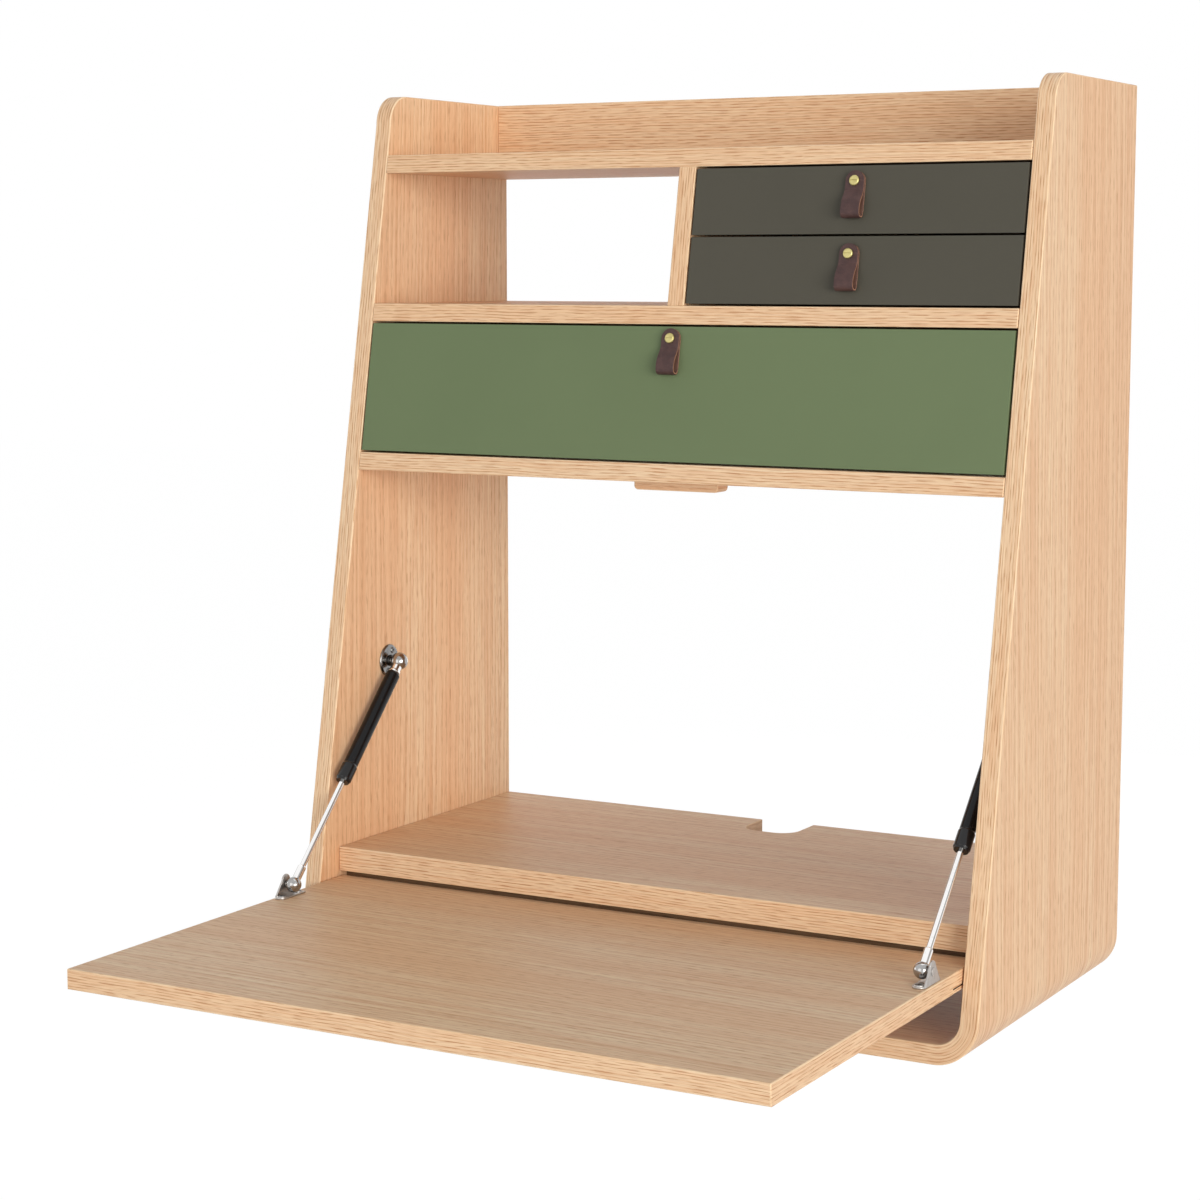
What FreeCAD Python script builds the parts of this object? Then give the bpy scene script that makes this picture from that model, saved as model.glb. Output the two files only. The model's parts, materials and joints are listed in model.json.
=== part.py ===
import FreeCAD, Part
import math
import os

from FreeCAD import Vector

# Wall desk with a fold-down writing flap on two gas struts, three drawers and an open niche.
# Millimetres, X to the right, Y into the wall, Z up. The wall plane is Y zero.
# Heights count from the underside of the shell while the pieces are made. The finished pieces
# are then lowered so that the origin is midway between the two wall screws, on the wall plane.

# Shell: one board bent into a U, cut to a sloping front
shell_width = 736.0
board = 18.0
shell_height = 885.0
top_depth = 224.5
bottom_depth = 388.0
bend_inner_radius = 22.0
side_top_radius = 30.0
shell_edge_ease = 1.2

# Shelves, divider and rails between the sides
tray_height = 61.5
bay_height = 133.0
board_edge_ease = 0.6
top_rail_thickness = 17.0
hanging_rail_height = 60.0
hanging_rail_thickness = 18.0
bay_back_thickness = 6.0
wall_screw_spacing = 500.0
wall_screw_hole_radius = 3.25

# Inner desk shelf with its cable notch
inner_shelf_top = 118.0
inner_shelf_thickness = 25.0
inner_shelf_behind_hinge = 29.5
notch_width = 60.0
notch_depth = 56.0
notch_corner_radius = 20.0
shelf_rail_height = 26.0
shelf_rail_setback = 14.0

# Block under the low shelf
under_block_width = 92.0
under_block_depth = 22.0
under_block_height = 10.5
under_block_setback = 33.0
under_block_corner_radius = 4.0

# Flap, lying open
flap_thickness = 19.0
flap_gap_under_shelf = 5.2
flap_side_gap = 1.75
flap_reach = 396.8
flap_tail = 35.0
flap_edge_ease = 0.6

# Flap hinge: pins held between the flap and a strip let into its underside
hinge_strip_thickness = 5.0
hinge_strip_width = 60.0
hinge_set_in = 6.9
hinge_pin_radius = 2.5
hinge_pin_length = 62.0
hinge_pin_in_side = 12.0
hinge_hole_depth = 13.0
running_clearance = 0.05

# Gas struts: places of the two ball joints
strut_from_side = 13.7
strut_upper_behind_hinge = 124.5
strut_upper_above_flap = 211.7
strut_lower_ahead_of_hinge = 68.5
strut_lower_above_flap = 11.5

# Gas struts: pieces
tube_radius = 7.5
tube_wall = 1.3
tube_start_from_ball = 15.5
tube_end_from_ball = 153.5
tube_end_thickness = 3.3
gland_radius = 8.1
gland_length = 22.0
rod_radius = 3.0
rod_past_gland = 10.5
ball_end_ease = 2.6
rod_end_ball_radius = 7.8
rod_end_collar_radius = 4.3
rod_end_collar_length = 22.0
rod_seat_depth = 9.0
socket_ball_radius = 9.2
socket_neck_radius = 4.8
socket_open_gap = 0.35

# Round plate that carries the strut on the side
plate_radius = 17.0
plate_thickness = 2.5
plate_boss_radius = 6.0
plate_stud_radius = 3.5

# Angle bracket that carries the strut on the flap
bracket_sheet = 2.0
bracket_width = 13.0
bracket_ahead = 22.0
bracket_behind = 17.0
bracket_edge_gap = 1.4
bracket_nose_radius = 5.5
bracket_corner_radius = 1.0
ear_top_radius = 5.5
ear_foot_length = 27.0
ear_above_ball = 10.0
bracket_stud_radius = 2.5

# Drawers
front_gap = 2.0
front_thickness = 18.0
front_edge_ease = 0.6
drawer_wall = 12.0
drawer_bottom_thickness = 5.0
drawer_groove_depth = 6.0
drawer_bottom_rise = 9.0
drawer_side_gap = 2.0
small_drawer_side_height = 48.0
wide_drawer_side_height = 98.0
drawer_rise_in_front = 5.0
drawer_back_gap = 6.0

# Wooden runners of the drawers
runner_height = 12.0
runner_reach_in_groove = 6.0
runner_end_gap = 3.0
runner_top_clearance = 0.3
runner_side_clearance = 0.6

# Leather pulls, folded straps held by a brass stud
strap_width = 19.0
strap_thickness = 2.6
strap_above_stud = 9.8
strap_below_stud = 35.5
strap_loop_depth = 12.0
strap_fold_start = 8.0
strap_bulge_start = 24.0
strap_bulge_radius = 12.0
upper_stud_drop = 15.0
lower_stud_drop = 17.0
wide_stud_drop = 12.0
stud_head_radius = 5.0
stud_head_height = 2.4

# How far a cutting shape runs past the solid that it cuts
overrun = 5.0
# Two points closer than this are one
touch = 0.001

# Places that follow from the sizes
outer_half_width = shell_width / 2
half_width = outer_half_width - board
lean = math.atan2(bottom_depth - top_depth, shell_height)
bend_outer_radius = bend_inner_radius + board
top_shelf_top = shell_height - tray_height
top_shelf_under = top_shelf_top - board
mid_shelf_top = top_shelf_under - bay_height
mid_shelf_under = mid_shelf_top - board
low_shelf_top = mid_shelf_under - bay_height
low_shelf_under = low_shelf_top - board
hanging_rail_bottom = mid_shelf_under - hanging_rail_height
wall_screw_height = hanging_rail_bottom + hanging_rail_height / 2
inner_shelf_under = inner_shelf_top - inner_shelf_thickness
flap_top = inner_shelf_under - flap_gap_under_shelf
flap_under = flap_top - flap_thickness
flap_half_width = half_width - flap_side_gap
hinge_height = flap_under + hinge_strip_thickness
up_front = Vector(0, math.sin(lean), math.cos(lean))
out_of_front = Vector(0, -math.cos(lean), math.sin(lean))


def front_y(height):
    """Where the sloping front plane is at a height."""
    return (bottom_depth - top_depth) * height / shell_height - bottom_depth


hinge_y = front_y(hinge_height) + hinge_set_in
flap_front_y = hinge_y - flap_reach
flap_rear_y = hinge_y + flap_tail
inner_shelf_front_y = hinge_y + inner_shelf_behind_hinge
strut_x = half_width - strut_from_side
strut_upper = Vector(strut_x, hinge_y + strut_upper_behind_hinge, flap_top + strut_upper_above_flap)
strut_lower = Vector(strut_x, hinge_y - strut_lower_ahead_of_hinge, flap_top + strut_lower_above_flap)
strut_way = (strut_upper - strut_lower).normalize()
strut_length = (strut_upper - strut_lower).Length


def block(low_x, high_x, low_y, high_y, low_z, high_z):
    """A box between two corners."""
    return Part.makeBox(high_x - low_x, high_y - low_y, high_z - low_z, Vector(low_x, low_y, low_z))


def pin(start, end, radius):
    """A round bar between two points."""
    return Part.makeCylinder(radius, (end - start).Length, start, end - start)


def rounded_face(corners, origin, along, across):
    """A flat face through corners (a, b, radius), measured along and across from the origin."""
    count = len(corners)
    ends = []
    for index in range(count):
        here = Vector(corners[index][0], corners[index][1], 0)
        before = Vector(corners[index - 1][0], corners[index - 1][1], 0)
        after = Vector(corners[(index + 1) % count][0], corners[(index + 1) % count][1], 0)
        arriving = (here - before).normalize()
        leaving = (after - here).normalize()
        half_turn = arriving.getAngle(leaving) / 2
        radius = corners[index][2]
        reach = radius * math.tan(half_turn)
        inward = (leaving - arriving).normalize() * (radius / math.cos(half_turn) - radius)
        ends.append((here - arriving * reach, here + inward, here + leaving * reach))
    placed = [[origin + along * point.x + across * point.y for point in three] for three in ends]
    edges = []
    for index in range(count):
        start, middle, end = placed[index]
        last = placed[index - 1][2]
        if (start - last).Length > touch:
            edges.append(Part.LineSegment(last, start).toShape())
        if (end - start).Length > touch:
            edges.append(Part.Arc(start, middle, end).toShape())
    return Part.Face(Part.Wire(edges))


def across_x(corners, low_x, high_x):
    """A solid between two planes across X, with corners (y, z, radius)."""
    face = rounded_face(corners, Vector(low_x, 0, 0), Vector(0, 1, 0), Vector(0, 0, 1))
    return face.extrude(Vector(high_x - low_x, 0, 0))


def turned(profile, origin, axis, side):
    """A solid of revolution from corners (along the axis, out from the axis)."""
    points = [origin + axis * along + side * out for along, out in profile]
    face = Part.Face(Part.makePolygon(points + points[:1]))
    return face.revolve(origin, axis, 360)


def eased(solid, width, wanted):
    """Take the sharpness off the edges whose end and middle points all pass the test."""
    edges = []
    for edge in solid.Edges:
        points = [edge.valueAt(edge.FirstParameter), edge.valueAt(edge.LastParameter)]
        points.append(edge.valueAt((edge.FirstParameter + edge.LastParameter) / 2))
        if all(wanted(point) for point in points):
            edges.append(edge)
    return solid.makeChamfer(width, edges)


def near(value, place):
    """Is a value at a place?"""
    return abs(value - place) < touch


def mirrored(solid):
    """The same piece on the other side of the desk."""
    return solid.mirror(Vector(0, 0, 0), Vector(1, 0, 0))


def write(name, solids):
    """Write one node, lowered to the part's own origin."""
    shape = solids[0] if len(solids) == 1 else Part.makeCompound(solids)
    placed = shape.copy()
    placed.translate(Vector(0, 0, -wall_screw_height))
    placed.exportStep(os.path.join("parts", name + ".step"))


def make_shell():
    """The bent U of both sides and the bottom, with its front cut to the slope."""
    section = rounded_face(
        (
            (-outer_half_width, shell_height, 0),
            (-outer_half_width, 0, bend_outer_radius),
            (outer_half_width, 0, bend_outer_radius),
            (outer_half_width, shell_height, 0),
            (half_width, shell_height, 0),
            (half_width, board, bend_inner_radius),
            (-half_width, board, bend_inner_radius),
            (-half_width, shell_height, 0),
        ),
        Vector(0, 0, 0),
        Vector(1, 0, 0),
        Vector(0, 0, 1),
    )
    blank = section.extrude(Vector(0, -bottom_depth - overrun, 0))
    outline = across_x(
        (
            (0, 0, 0),
            (-bottom_depth, 0, 0),
            (-top_depth, shell_height, side_top_radius),
            (0, shell_height, 0),
        ),
        -outer_half_width - overrun,
        outer_half_width + overrun,
    )
    shell = blank.common(outline)
    rim = [face for face in outline.Faces if abs(face.normalAt(0, 0).x) < touch]
    rim = [face for face in rim if not near(face.CenterOfMass.y, 0) and not near(face.CenterOfMass.z, 0)]
    rim = Part.makeCompound(rim)
    edges = []
    for edge in shell.Edges:
        middle = edge.valueAt((edge.FirstParameter + edge.LastParameter) / 2)
        if edge.Length > board + touch and rim.distToShape(Part.Vertex(middle))[0] < touch:
            edges.append(edge)
    return shell.makeChamfer(shell_edge_ease, edges)


def shelf(top, thickness):
    """A shelf between the sides, from the wall plane to the sloping front."""
    under = top - thickness
    solid = across_x(
        ((0, under, 0), (front_y(under), under, 0), (front_y(top), top, 0), (0, top, 0)),
        -half_width,
        half_width,
    )
    return eased(solid, board_edge_ease, lambda point: near(point.y, front_y(point.z)) and (
        near(point.z, top) or near(point.z, under)))


def make_divider():
    """The upright between the niche and the small drawers."""
    return across_x(
        (
            (0, mid_shelf_top, 0),
            (front_y(mid_shelf_top), mid_shelf_top, 0),
            (front_y(top_shelf_under), top_shelf_under, 0),
            (0, top_shelf_under, 0),
        ),
        -board / 2,
        board / 2,
    )


def make_top_rail():
    """The rail that closes the tray at the wall."""
    rail = block(-half_width, half_width, -top_rail_thickness, 0, top_shelf_top, shell_height)
    return eased(rail, board_edge_ease, lambda point: near(point.z, shell_height))


def make_bay_back():
    """The thin board that closes the small drawers' bay at the wall."""
    return block(board / 2, half_width, -bay_back_thickness, 0, mid_shelf_top, top_shelf_under)


def wall_screw_places():
    """Where the wall screws pass, on the wall plane."""
    return [Vector(way * wall_screw_spacing / 2, 0, wall_screw_height) for way in (-1, 1)]


def make_hanging_rail():
    """The rail behind the wide drawer that the wall screws go through."""
    rail = block(
        -half_width, half_width, -hanging_rail_thickness, 0, hanging_rail_bottom, mid_shelf_under
    )
    for place in wall_screw_places():
        start = place + Vector(0, overrun, 0)
        end = place - Vector(0, hanging_rail_thickness + overrun, 0)
        rail = rail.cut(pin(start, end, wall_screw_hole_radius))
    return rail


def make_inner_shelf():
    """The fixed part of the desk top, notched for cables at the wall."""
    solid = block(-half_width, half_width, inner_shelf_front_y, 0, inner_shelf_under, inner_shelf_top)
    solid = eased(solid, board_edge_ease, lambda point: near(point.y, inner_shelf_front_y) and (
        near(point.z, inner_shelf_top) or near(point.z, inner_shelf_under)))
    notch = rounded_face(
        (
            (-notch_width / 2, overrun, 0),
            (-notch_width / 2, -notch_depth, notch_corner_radius),
            (notch_width / 2, -notch_depth, notch_corner_radius),
            (notch_width / 2, overrun, 0),
        ),
        Vector(0, 0, inner_shelf_under - overrun),
        Vector(1, 0, 0),
        Vector(0, 1, 0),
    )
    return solid.cut(notch.extrude(Vector(0, 0, inner_shelf_thickness + overrun + overrun)))


def make_shelf_rail():
    """The rail that stiffens the inner shelf from below, just behind the flap's rear edge."""
    front = inner_shelf_front_y + shelf_rail_setback
    return block(
        -half_width, half_width, front, front + board, inner_shelf_under - shelf_rail_height, inner_shelf_under
    )


def make_under_block():
    """The small block under the low shelf, with rounded lower corners."""
    front = front_y(low_shelf_under) + under_block_setback
    low = low_shelf_under - under_block_height
    face = rounded_face(
        (
            (-under_block_width / 2, low_shelf_under, 0),
            (-under_block_width / 2, low, under_block_corner_radius),
            (under_block_width / 2, low, under_block_corner_radius),
            (under_block_width / 2, low_shelf_under, 0),
        ),
        Vector(0, front, 0),
        Vector(1, 0, 0),
        Vector(0, 0, 1),
    )
    return face.extrude(Vector(0, under_block_depth, 0))


def make_hinge_pin():
    """The steel pin at the right end of the flap, with its outer end in the side."""
    outer = half_width + hinge_pin_in_side
    inner = outer - hinge_pin_length
    return pin(Vector(inner, hinge_y, hinge_height), Vector(outer, hinge_y, hinge_height), hinge_pin_radius)


def make_hinge_hole():
    """The hole in the right side that the pin turns in."""
    start = Vector(half_width, hinge_y, hinge_height)
    return pin(start, start + Vector(hinge_hole_depth, 0, 0), hinge_pin_radius + running_clearance)


def make_hinge_strip():
    """The strip let into the flap's underside over the pins."""
    front = flap_rear_y - hinge_strip_width
    return block(-flap_half_width, flap_half_width, front, flap_rear_y, flap_under, hinge_height)


def make_flap():
    """The writing flap, with its upper and front edges eased."""
    panel = block(-flap_half_width, flap_half_width, flap_front_y, flap_rear_y, flap_under, flap_top)
    return eased(panel, flap_edge_ease, lambda point: near(point.z, flap_top) or near(point.y, flap_front_y))


def bracket_outline(lower, outer_x):
    """The angle bracket's sheet: a base on the flap and an ear beside the ball."""
    nose = lower.y - bracket_ahead
    tail = lower.y + bracket_behind
    inner_x = outer_x - bracket_width
    base = rounded_face(
        (
            (inner_x, tail, bracket_corner_radius),
            (inner_x, nose, bracket_nose_radius),
            (outer_x, nose, bracket_nose_radius),
            (outer_x, tail, bracket_corner_radius),
        ),
        Vector(0, 0, flap_top),
        Vector(1, 0, 0),
        Vector(0, 1, 0),
    ).extrude(Vector(0, 0, bracket_sheet))
    ear = across_x(
        (
            (tail, flap_top, 0),
            (tail - ear_foot_length, flap_top, 0),
            (lower.y - ear_top_radius, lower.z + ear_above_ball, ear_top_radius),
            (lower.y + ear_top_radius, lower.z + ear_above_ball, ear_top_radius),
        ),
        outer_x - bracket_sheet,
        outer_x,
    )
    return base.fuse(ear)


def make_bracket():
    """The right bracket with the stud that the strut's lower end turns on."""
    outer_x = flap_half_width - bracket_edge_gap
    sheet = bracket_outline(strut_lower, outer_x)
    stud_end = strut_lower - Vector(rod_end_ball_radius / 2, 0, 0)
    stud_start = Vector(outer_x - bracket_sheet / 2, strut_lower.y, strut_lower.z)
    return sheet.fuse(pin(stud_start, stud_end, bracket_stud_radius)).removeSplitter()


def make_plate():
    """The right round plate, domed to the boss that points at the strut's upper end."""
    side = Vector(half_width, strut_upper.y, strut_upper.z)
    stud_length = strut_from_side - socket_ball_radius - socket_open_gap
    profile = (
        (0, 0),
        (0, plate_radius),
        (plate_thickness, plate_radius),
        (plate_thickness, plate_boss_radius),
        (stud_length, plate_stud_radius),
        (stud_length, 0),
    )
    return turned(profile, side, Vector(-1, 0, 0), Vector(0, 0, 1))


def barrel(middle, radius, bore_depth):
    """A ball joint's housing: a short barrel across the strut, open at its outer end if bored."""
    bore_radius = bracket_stud_radius + running_clearance
    profile = [
        (-radius, 0),
        (-radius, radius - ball_end_ease),
        (ball_end_ease - radius, radius),
        (radius, radius),
    ]
    if bore_depth:
        profile += [(radius, bore_radius), (radius - bore_depth, bore_radius), (radius - bore_depth, 0)]
    else:
        profile += [(radius, 0)]
    return turned(profile, middle, Vector(1, 0, 0), strut_way)


def make_rod_end():
    """The lower end of the right strut: a collar on the rod and a barrel on the bracket's stud."""
    seat = rod_end_collar_length - rod_seat_depth
    collar = turned(
        (
            (rod_end_ball_radius / 2, 0),
            (rod_end_ball_radius / 2, rod_end_collar_radius),
            (rod_end_collar_length, rod_end_collar_radius),
            (rod_end_collar_length, rod_radius),
            (seat, rod_radius),
            (seat, 0),
        ),
        strut_lower,
        strut_way,
        Vector(1, 0, 0),
    )
    bore_depth = rod_end_ball_radius + rod_end_ball_radius / 2 + running_clearance
    return barrel(strut_lower, rod_end_ball_radius, bore_depth).fuse(collar)


def rod_reach():
    """How far the rod's top is from the lower ball."""
    return strut_length - tube_end_from_ball + gland_length + rod_past_gland


def along_strut(distance):
    """A point on the strut's line, counted up from the lower ball."""
    return strut_lower + strut_way * distance


def make_rod():
    """The polished rod, from its seat in the lower end to just inside the tube."""
    return pin(along_strut(rod_end_collar_length - rod_seat_depth), along_strut(rod_reach()), rod_radius)


def make_gland():
    """The wider black end of the tube that the rod slides through."""
    low = strut_length - tube_end_from_ball
    profile = (
        (low, rod_radius + running_clearance),
        (low, gland_radius),
        (low + gland_length, gland_radius),
        (low + gland_length, rod_radius + running_clearance),
    )
    return turned(profile, strut_lower, strut_way, Vector(1, 0, 0))


def make_tube():
    """The black pressure tube, closed at its upper end."""
    low = strut_length - tube_end_from_ball + gland_length
    high = strut_length - tube_start_from_ball
    bore = tube_radius - tube_wall
    profile = (
        (low, bore),
        (low, tube_radius),
        (high, tube_radius),
        (high, 0),
        (high - tube_end_thickness, 0),
        (high - tube_end_thickness, bore),
    )
    return turned(profile, strut_lower, strut_way, Vector(1, 0, 0))


def make_socket():
    """The upper end of the strut: a neck on the tube's closed end and a barrel."""
    neck = pin(
        along_strut(strut_length - tube_start_from_ball),
        along_strut(strut_length - socket_ball_radius / 2),
        socket_neck_radius,
    )
    return barrel(strut_upper, socket_ball_radius, 0).fuse(neck)


def inside_front_y(height):
    """The inner face of the drawer fronts at a height."""
    return front_y(height) + front_thickness / math.cos(lean)


def make_front(left, right, low, high):
    """A painted drawer front that lies in the sloping plane."""
    solid = across_x(
        (
            (front_y(low), low, 0),
            (front_y(high), high, 0),
            (inside_front_y(high), high, 0),
            (inside_front_y(low), low, 0),
        ),
        left,
        right,
    )
    return eased(solid, front_edge_ease, lambda point: near(point.y, front_y(point.z)))


def strap_solid(middle_x, stud_z):
    """The folded strap: two layers at the stud that open into a loop below it."""
    origin = Vector(middle_x - strap_width / 2, front_y(stud_z), stud_z)
    two_layers = 2 * strap_thickness
    inner_depth = strap_loop_depth - strap_thickness
    loop_radius = strap_loop_depth / 2
    outside = rounded_face(
        (
            (0, strap_above_stud, 0),
            (0, -strap_below_stud, loop_radius),
            (strap_loop_depth, -strap_below_stud, loop_radius),
            (strap_loop_depth, -strap_bulge_start, strap_bulge_radius),
            (two_layers, -strap_fold_start, strap_bulge_radius),
            (two_layers, strap_above_stud, 0),
        ),
        origin,
        out_of_front,
        up_front,
    )
    inside = rounded_face(
        (
            (strap_thickness, -strap_fold_start, 0),
            (strap_thickness, strap_thickness - strap_below_stud, loop_radius - strap_thickness),
            (inner_depth, strap_thickness - strap_below_stud, loop_radius - strap_thickness),
            (inner_depth, -strap_bulge_start, strap_bulge_radius - strap_thickness),
        ),
        origin,
        out_of_front,
        up_front,
    )
    wide = Vector(strap_width, 0, 0)
    loop = outside.extrude(wide).cut(inside.extrude(wide))
    rounding = rounded_face(
        (
            (0, strap_above_stud, strap_width / 2 - touch),
            (0, -strap_below_stud, 0),
            (strap_width, -strap_below_stud, 0),
            (strap_width, strap_above_stud, strap_width / 2 - touch),
        ),
        origin - out_of_front * overrun,
        Vector(1, 0, 0),
        up_front,
    )
    return loop.common(rounding.extrude(out_of_front * (strap_loop_depth + overrun + overrun)))


def stud_solid(middle_x, stud_z):
    """The brass stud's round head, on both layers of the strap."""
    seat = Vector(middle_x, front_y(stud_z), stud_z) + out_of_front * strap_thickness * 2
    return pin(seat, seat + out_of_front * stud_head_height, stud_head_radius)


def make_drawer(name, left, right, low, high, side_height, back_y, stud_drop):
    """One drawer of front, four boards, pull strap and stud. The runner grooves are cut too."""
    box_left = left - front_gap + drawer_side_gap
    box_right = right + front_gap - drawer_side_gap
    box_low = low + drawer_rise_in_front
    box_high = box_low + side_height
    bottom_low = box_low + drawer_bottom_rise
    bottom_high = bottom_low + drawer_bottom_thickness
    inner_left = box_left + drawer_wall
    inner_right = box_right - drawer_wall
    middle_x = (left + right) / 2
    stud_z = high - stud_drop

    bottom = across_x(
        (
            (back_y, bottom_low, 0),
            (inside_front_y(bottom_low) - drawer_groove_depth, bottom_low, 0),
            (inside_front_y(bottom_high) - drawer_groove_depth, bottom_high, 0),
            (back_y, bottom_high, 0),
        ),
        inner_left - drawer_groove_depth,
        inner_right + drawer_groove_depth,
    )
    sides = []
    for start, end in ((box_left, inner_left), (inner_right, box_right)):
        side = across_x(
            (
                (back_y, box_low, 0),
                (inside_front_y(box_low), box_low, 0),
                (inside_front_y(box_high), box_high, 0),
                (back_y, box_high, 0),
            ),
            start,
            end,
        )
        sides.append(side.cut(bottom))
    groove_low, groove_high = groove_heights(box_low, side_height)
    groove_depth = runner_reach_in_groove + runner_side_clearance
    front_end = inside_front_y(groove_low) - overrun
    sides[0] = sides[0].cut(block(
        box_left - overrun, box_left + groove_depth, front_end, overrun, groove_low, groove_high
    ))
    sides[1] = sides[1].cut(block(
        box_right - groove_depth, box_right + overrun, front_end, overrun, groove_low, groove_high
    ))
    back = block(inner_left, inner_right, back_y - drawer_wall, back_y, bottom_high, box_high)
    write(name + "_front", [make_front(left, right, low, high).cut(bottom)])
    write(name + "_side_left", [sides[0]])
    write(name + "_side_right", [sides[1]])
    write(name + "_back", [back])
    write(name + "_bottom", [bottom])
    write(name + "_pull_strap", [strap_solid(middle_x, stud_z)])
    write(name + "_pull_stud", [stud_solid(middle_x, stud_z)])


def groove_heights(box_low, side_height):
    """Lower and upper edge of the runner groove in a drawer side."""
    middle = box_low + side_height / 2
    low = middle - runner_height / 2 - runner_side_clearance
    return low, middle + runner_height / 2 + runner_top_clearance


def make_runners(left, right, low, side_height):
    """The pair of wooden runners that carry one drawer."""
    middle = low + drawer_rise_in_front + side_height / 2
    bottom = middle - runner_height / 2
    top = middle + runner_height / 2
    carcass_left = left - front_gap
    carcass_right = right + front_gap
    out = drawer_side_gap + runner_reach_in_groove
    rear = -hanging_rail_thickness
    strips = []
    for start, end in ((carcass_left, carcass_left + out), (carcass_right - out, carcass_right)):
        strips.append(across_x(
            (
                (rear, bottom, 0),
                (inside_front_y(bottom) + runner_end_gap, bottom, 0),
                (inside_front_y(top) + runner_end_gap, top, 0),
                (rear, top, 0),
            ),
            start,
            end,
        ))
    return strips


os.makedirs("parts", exist_ok=True)

# Fixed carcass
hinge_hole = make_hinge_hole()
write("shell", [make_shell().cut(Part.makeCompound([hinge_hole, mirrored(hinge_hole)]))])
write("top_shelf", [shelf(top_shelf_top, board)])
write("mid_shelf", [shelf(mid_shelf_top, board)])
write("low_shelf", [shelf(low_shelf_top, board)])
write("divider", [make_divider()])
write("top_rail", [make_top_rail()])
write("hanging_rail", [make_hanging_rail()])
write("bay_back", [make_bay_back()])
write("inner_shelf", [make_inner_shelf()])
write("shelf_rail", [make_shelf_rail()])
write("under_block", [make_under_block()])

# Flap with its hinge and brackets
pins = [make_hinge_pin()]
pins += [mirrored(pins[0])]
strip = make_hinge_strip()
write("flap_panel", [make_flap().cut(Part.makeCompound([strip] + pins))])
write("hinge_strip", [strip.cut(Part.makeCompound(pins))])
write("hinge_pins", pins)
write("flap_brackets", [make_bracket(), mirrored(make_bracket())])

# Gas struts and their plates
write("strut_plates", [make_plate(), mirrored(make_plate())])
for node, solid in (
    ("strut_rod_end", make_rod_end()),
    ("strut_rod", make_rod()),
    ("strut_gland", make_gland()),
    ("strut_tube", make_tube()),
    ("strut_socket", make_socket()),
):
    write(node + "_right", [solid])
    write(node + "_left", [mirrored(solid)])

# Drawers with their runners
small_front_height = (bay_height - front_gap * 3) / 2
small_left = board / 2 + front_gap
right_edge = half_width - front_gap
lower_low = mid_shelf_top + front_gap
upper_low = lower_low + small_front_height + front_gap
wide_low = low_shelf_top + front_gap
wide_high = mid_shelf_under - front_gap
drawer_back_y = -hanging_rail_thickness - drawer_back_gap
upper_high = upper_low + small_front_height
lower_high = lower_low + small_front_height
for drawer_name, left, low, high, side_height, stud_drop in (
    ("upper_drawer", small_left, upper_low, upper_high, small_drawer_side_height, upper_stud_drop),
    ("lower_drawer", small_left, lower_low, lower_high, small_drawer_side_height, lower_stud_drop),
    ("wide_drawer", -right_edge, wide_low, wide_high, wide_drawer_side_height, wide_stud_drop),
):
    make_drawer(drawer_name, left, right_edge, low, high, side_height, drawer_back_y, stud_drop)
    write(drawer_name + "_runners", make_runners(left, right_edge, low, side_height))
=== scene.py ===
import json
import math

import bmesh
import bpy
from mathutils import Matrix, Vector


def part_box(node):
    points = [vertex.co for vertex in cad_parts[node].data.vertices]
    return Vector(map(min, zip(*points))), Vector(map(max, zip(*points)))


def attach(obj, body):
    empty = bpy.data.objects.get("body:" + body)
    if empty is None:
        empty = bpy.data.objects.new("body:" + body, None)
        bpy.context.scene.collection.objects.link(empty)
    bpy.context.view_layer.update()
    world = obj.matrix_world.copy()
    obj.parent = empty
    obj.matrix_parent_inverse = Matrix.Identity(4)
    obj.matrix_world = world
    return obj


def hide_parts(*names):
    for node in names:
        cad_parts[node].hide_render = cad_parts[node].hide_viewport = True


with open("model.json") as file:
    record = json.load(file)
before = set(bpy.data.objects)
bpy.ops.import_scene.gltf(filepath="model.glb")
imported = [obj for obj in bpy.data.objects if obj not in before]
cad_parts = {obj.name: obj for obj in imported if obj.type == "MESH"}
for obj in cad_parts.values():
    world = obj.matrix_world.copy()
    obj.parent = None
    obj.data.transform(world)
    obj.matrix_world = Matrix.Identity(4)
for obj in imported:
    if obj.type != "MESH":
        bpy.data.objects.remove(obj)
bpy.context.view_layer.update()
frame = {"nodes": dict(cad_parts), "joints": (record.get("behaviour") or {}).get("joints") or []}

# Fold-down wall desk: oak shell and boards, painted drawer fronts, leather pulls and gas struts.
# Metres, X to the right, Y into the wall, Z up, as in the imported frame.

# Boards, with the sizes that the frame doesn't state
top_depth = 0.2245
bend_inner_radius = 0.022
side_top_radius = 0.030
shell_edge_radius = 0.0012
board_edge_radius = 0.0010
flap_edge_radius = 0.0012
strip_edge_radius = 0.0004
strip_end_gap = 0.0013
strip_end_gap_depth = 0.006
notch_corner_radius = 0.020
notch_half_width = 0.030
notch_depth = 0.056
block_corner_radius = 0.004
seam = 0.0004
front_thickness = 0.018
front_edge_radius = 0.0005

# Folded leather pulls and their studs
strap_width = 0.0190
strap_thickness = 0.0026
strap_above_stud = 0.0098
strap_below_stud = 0.0355
strap_loop_depth = 0.012
strap_slack = 0.0004
strap_edge_radius = 0.0007
stud_height = 0.0024
stud_slot_width = 0.0009
stud_slot_depth = 0.0010

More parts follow.
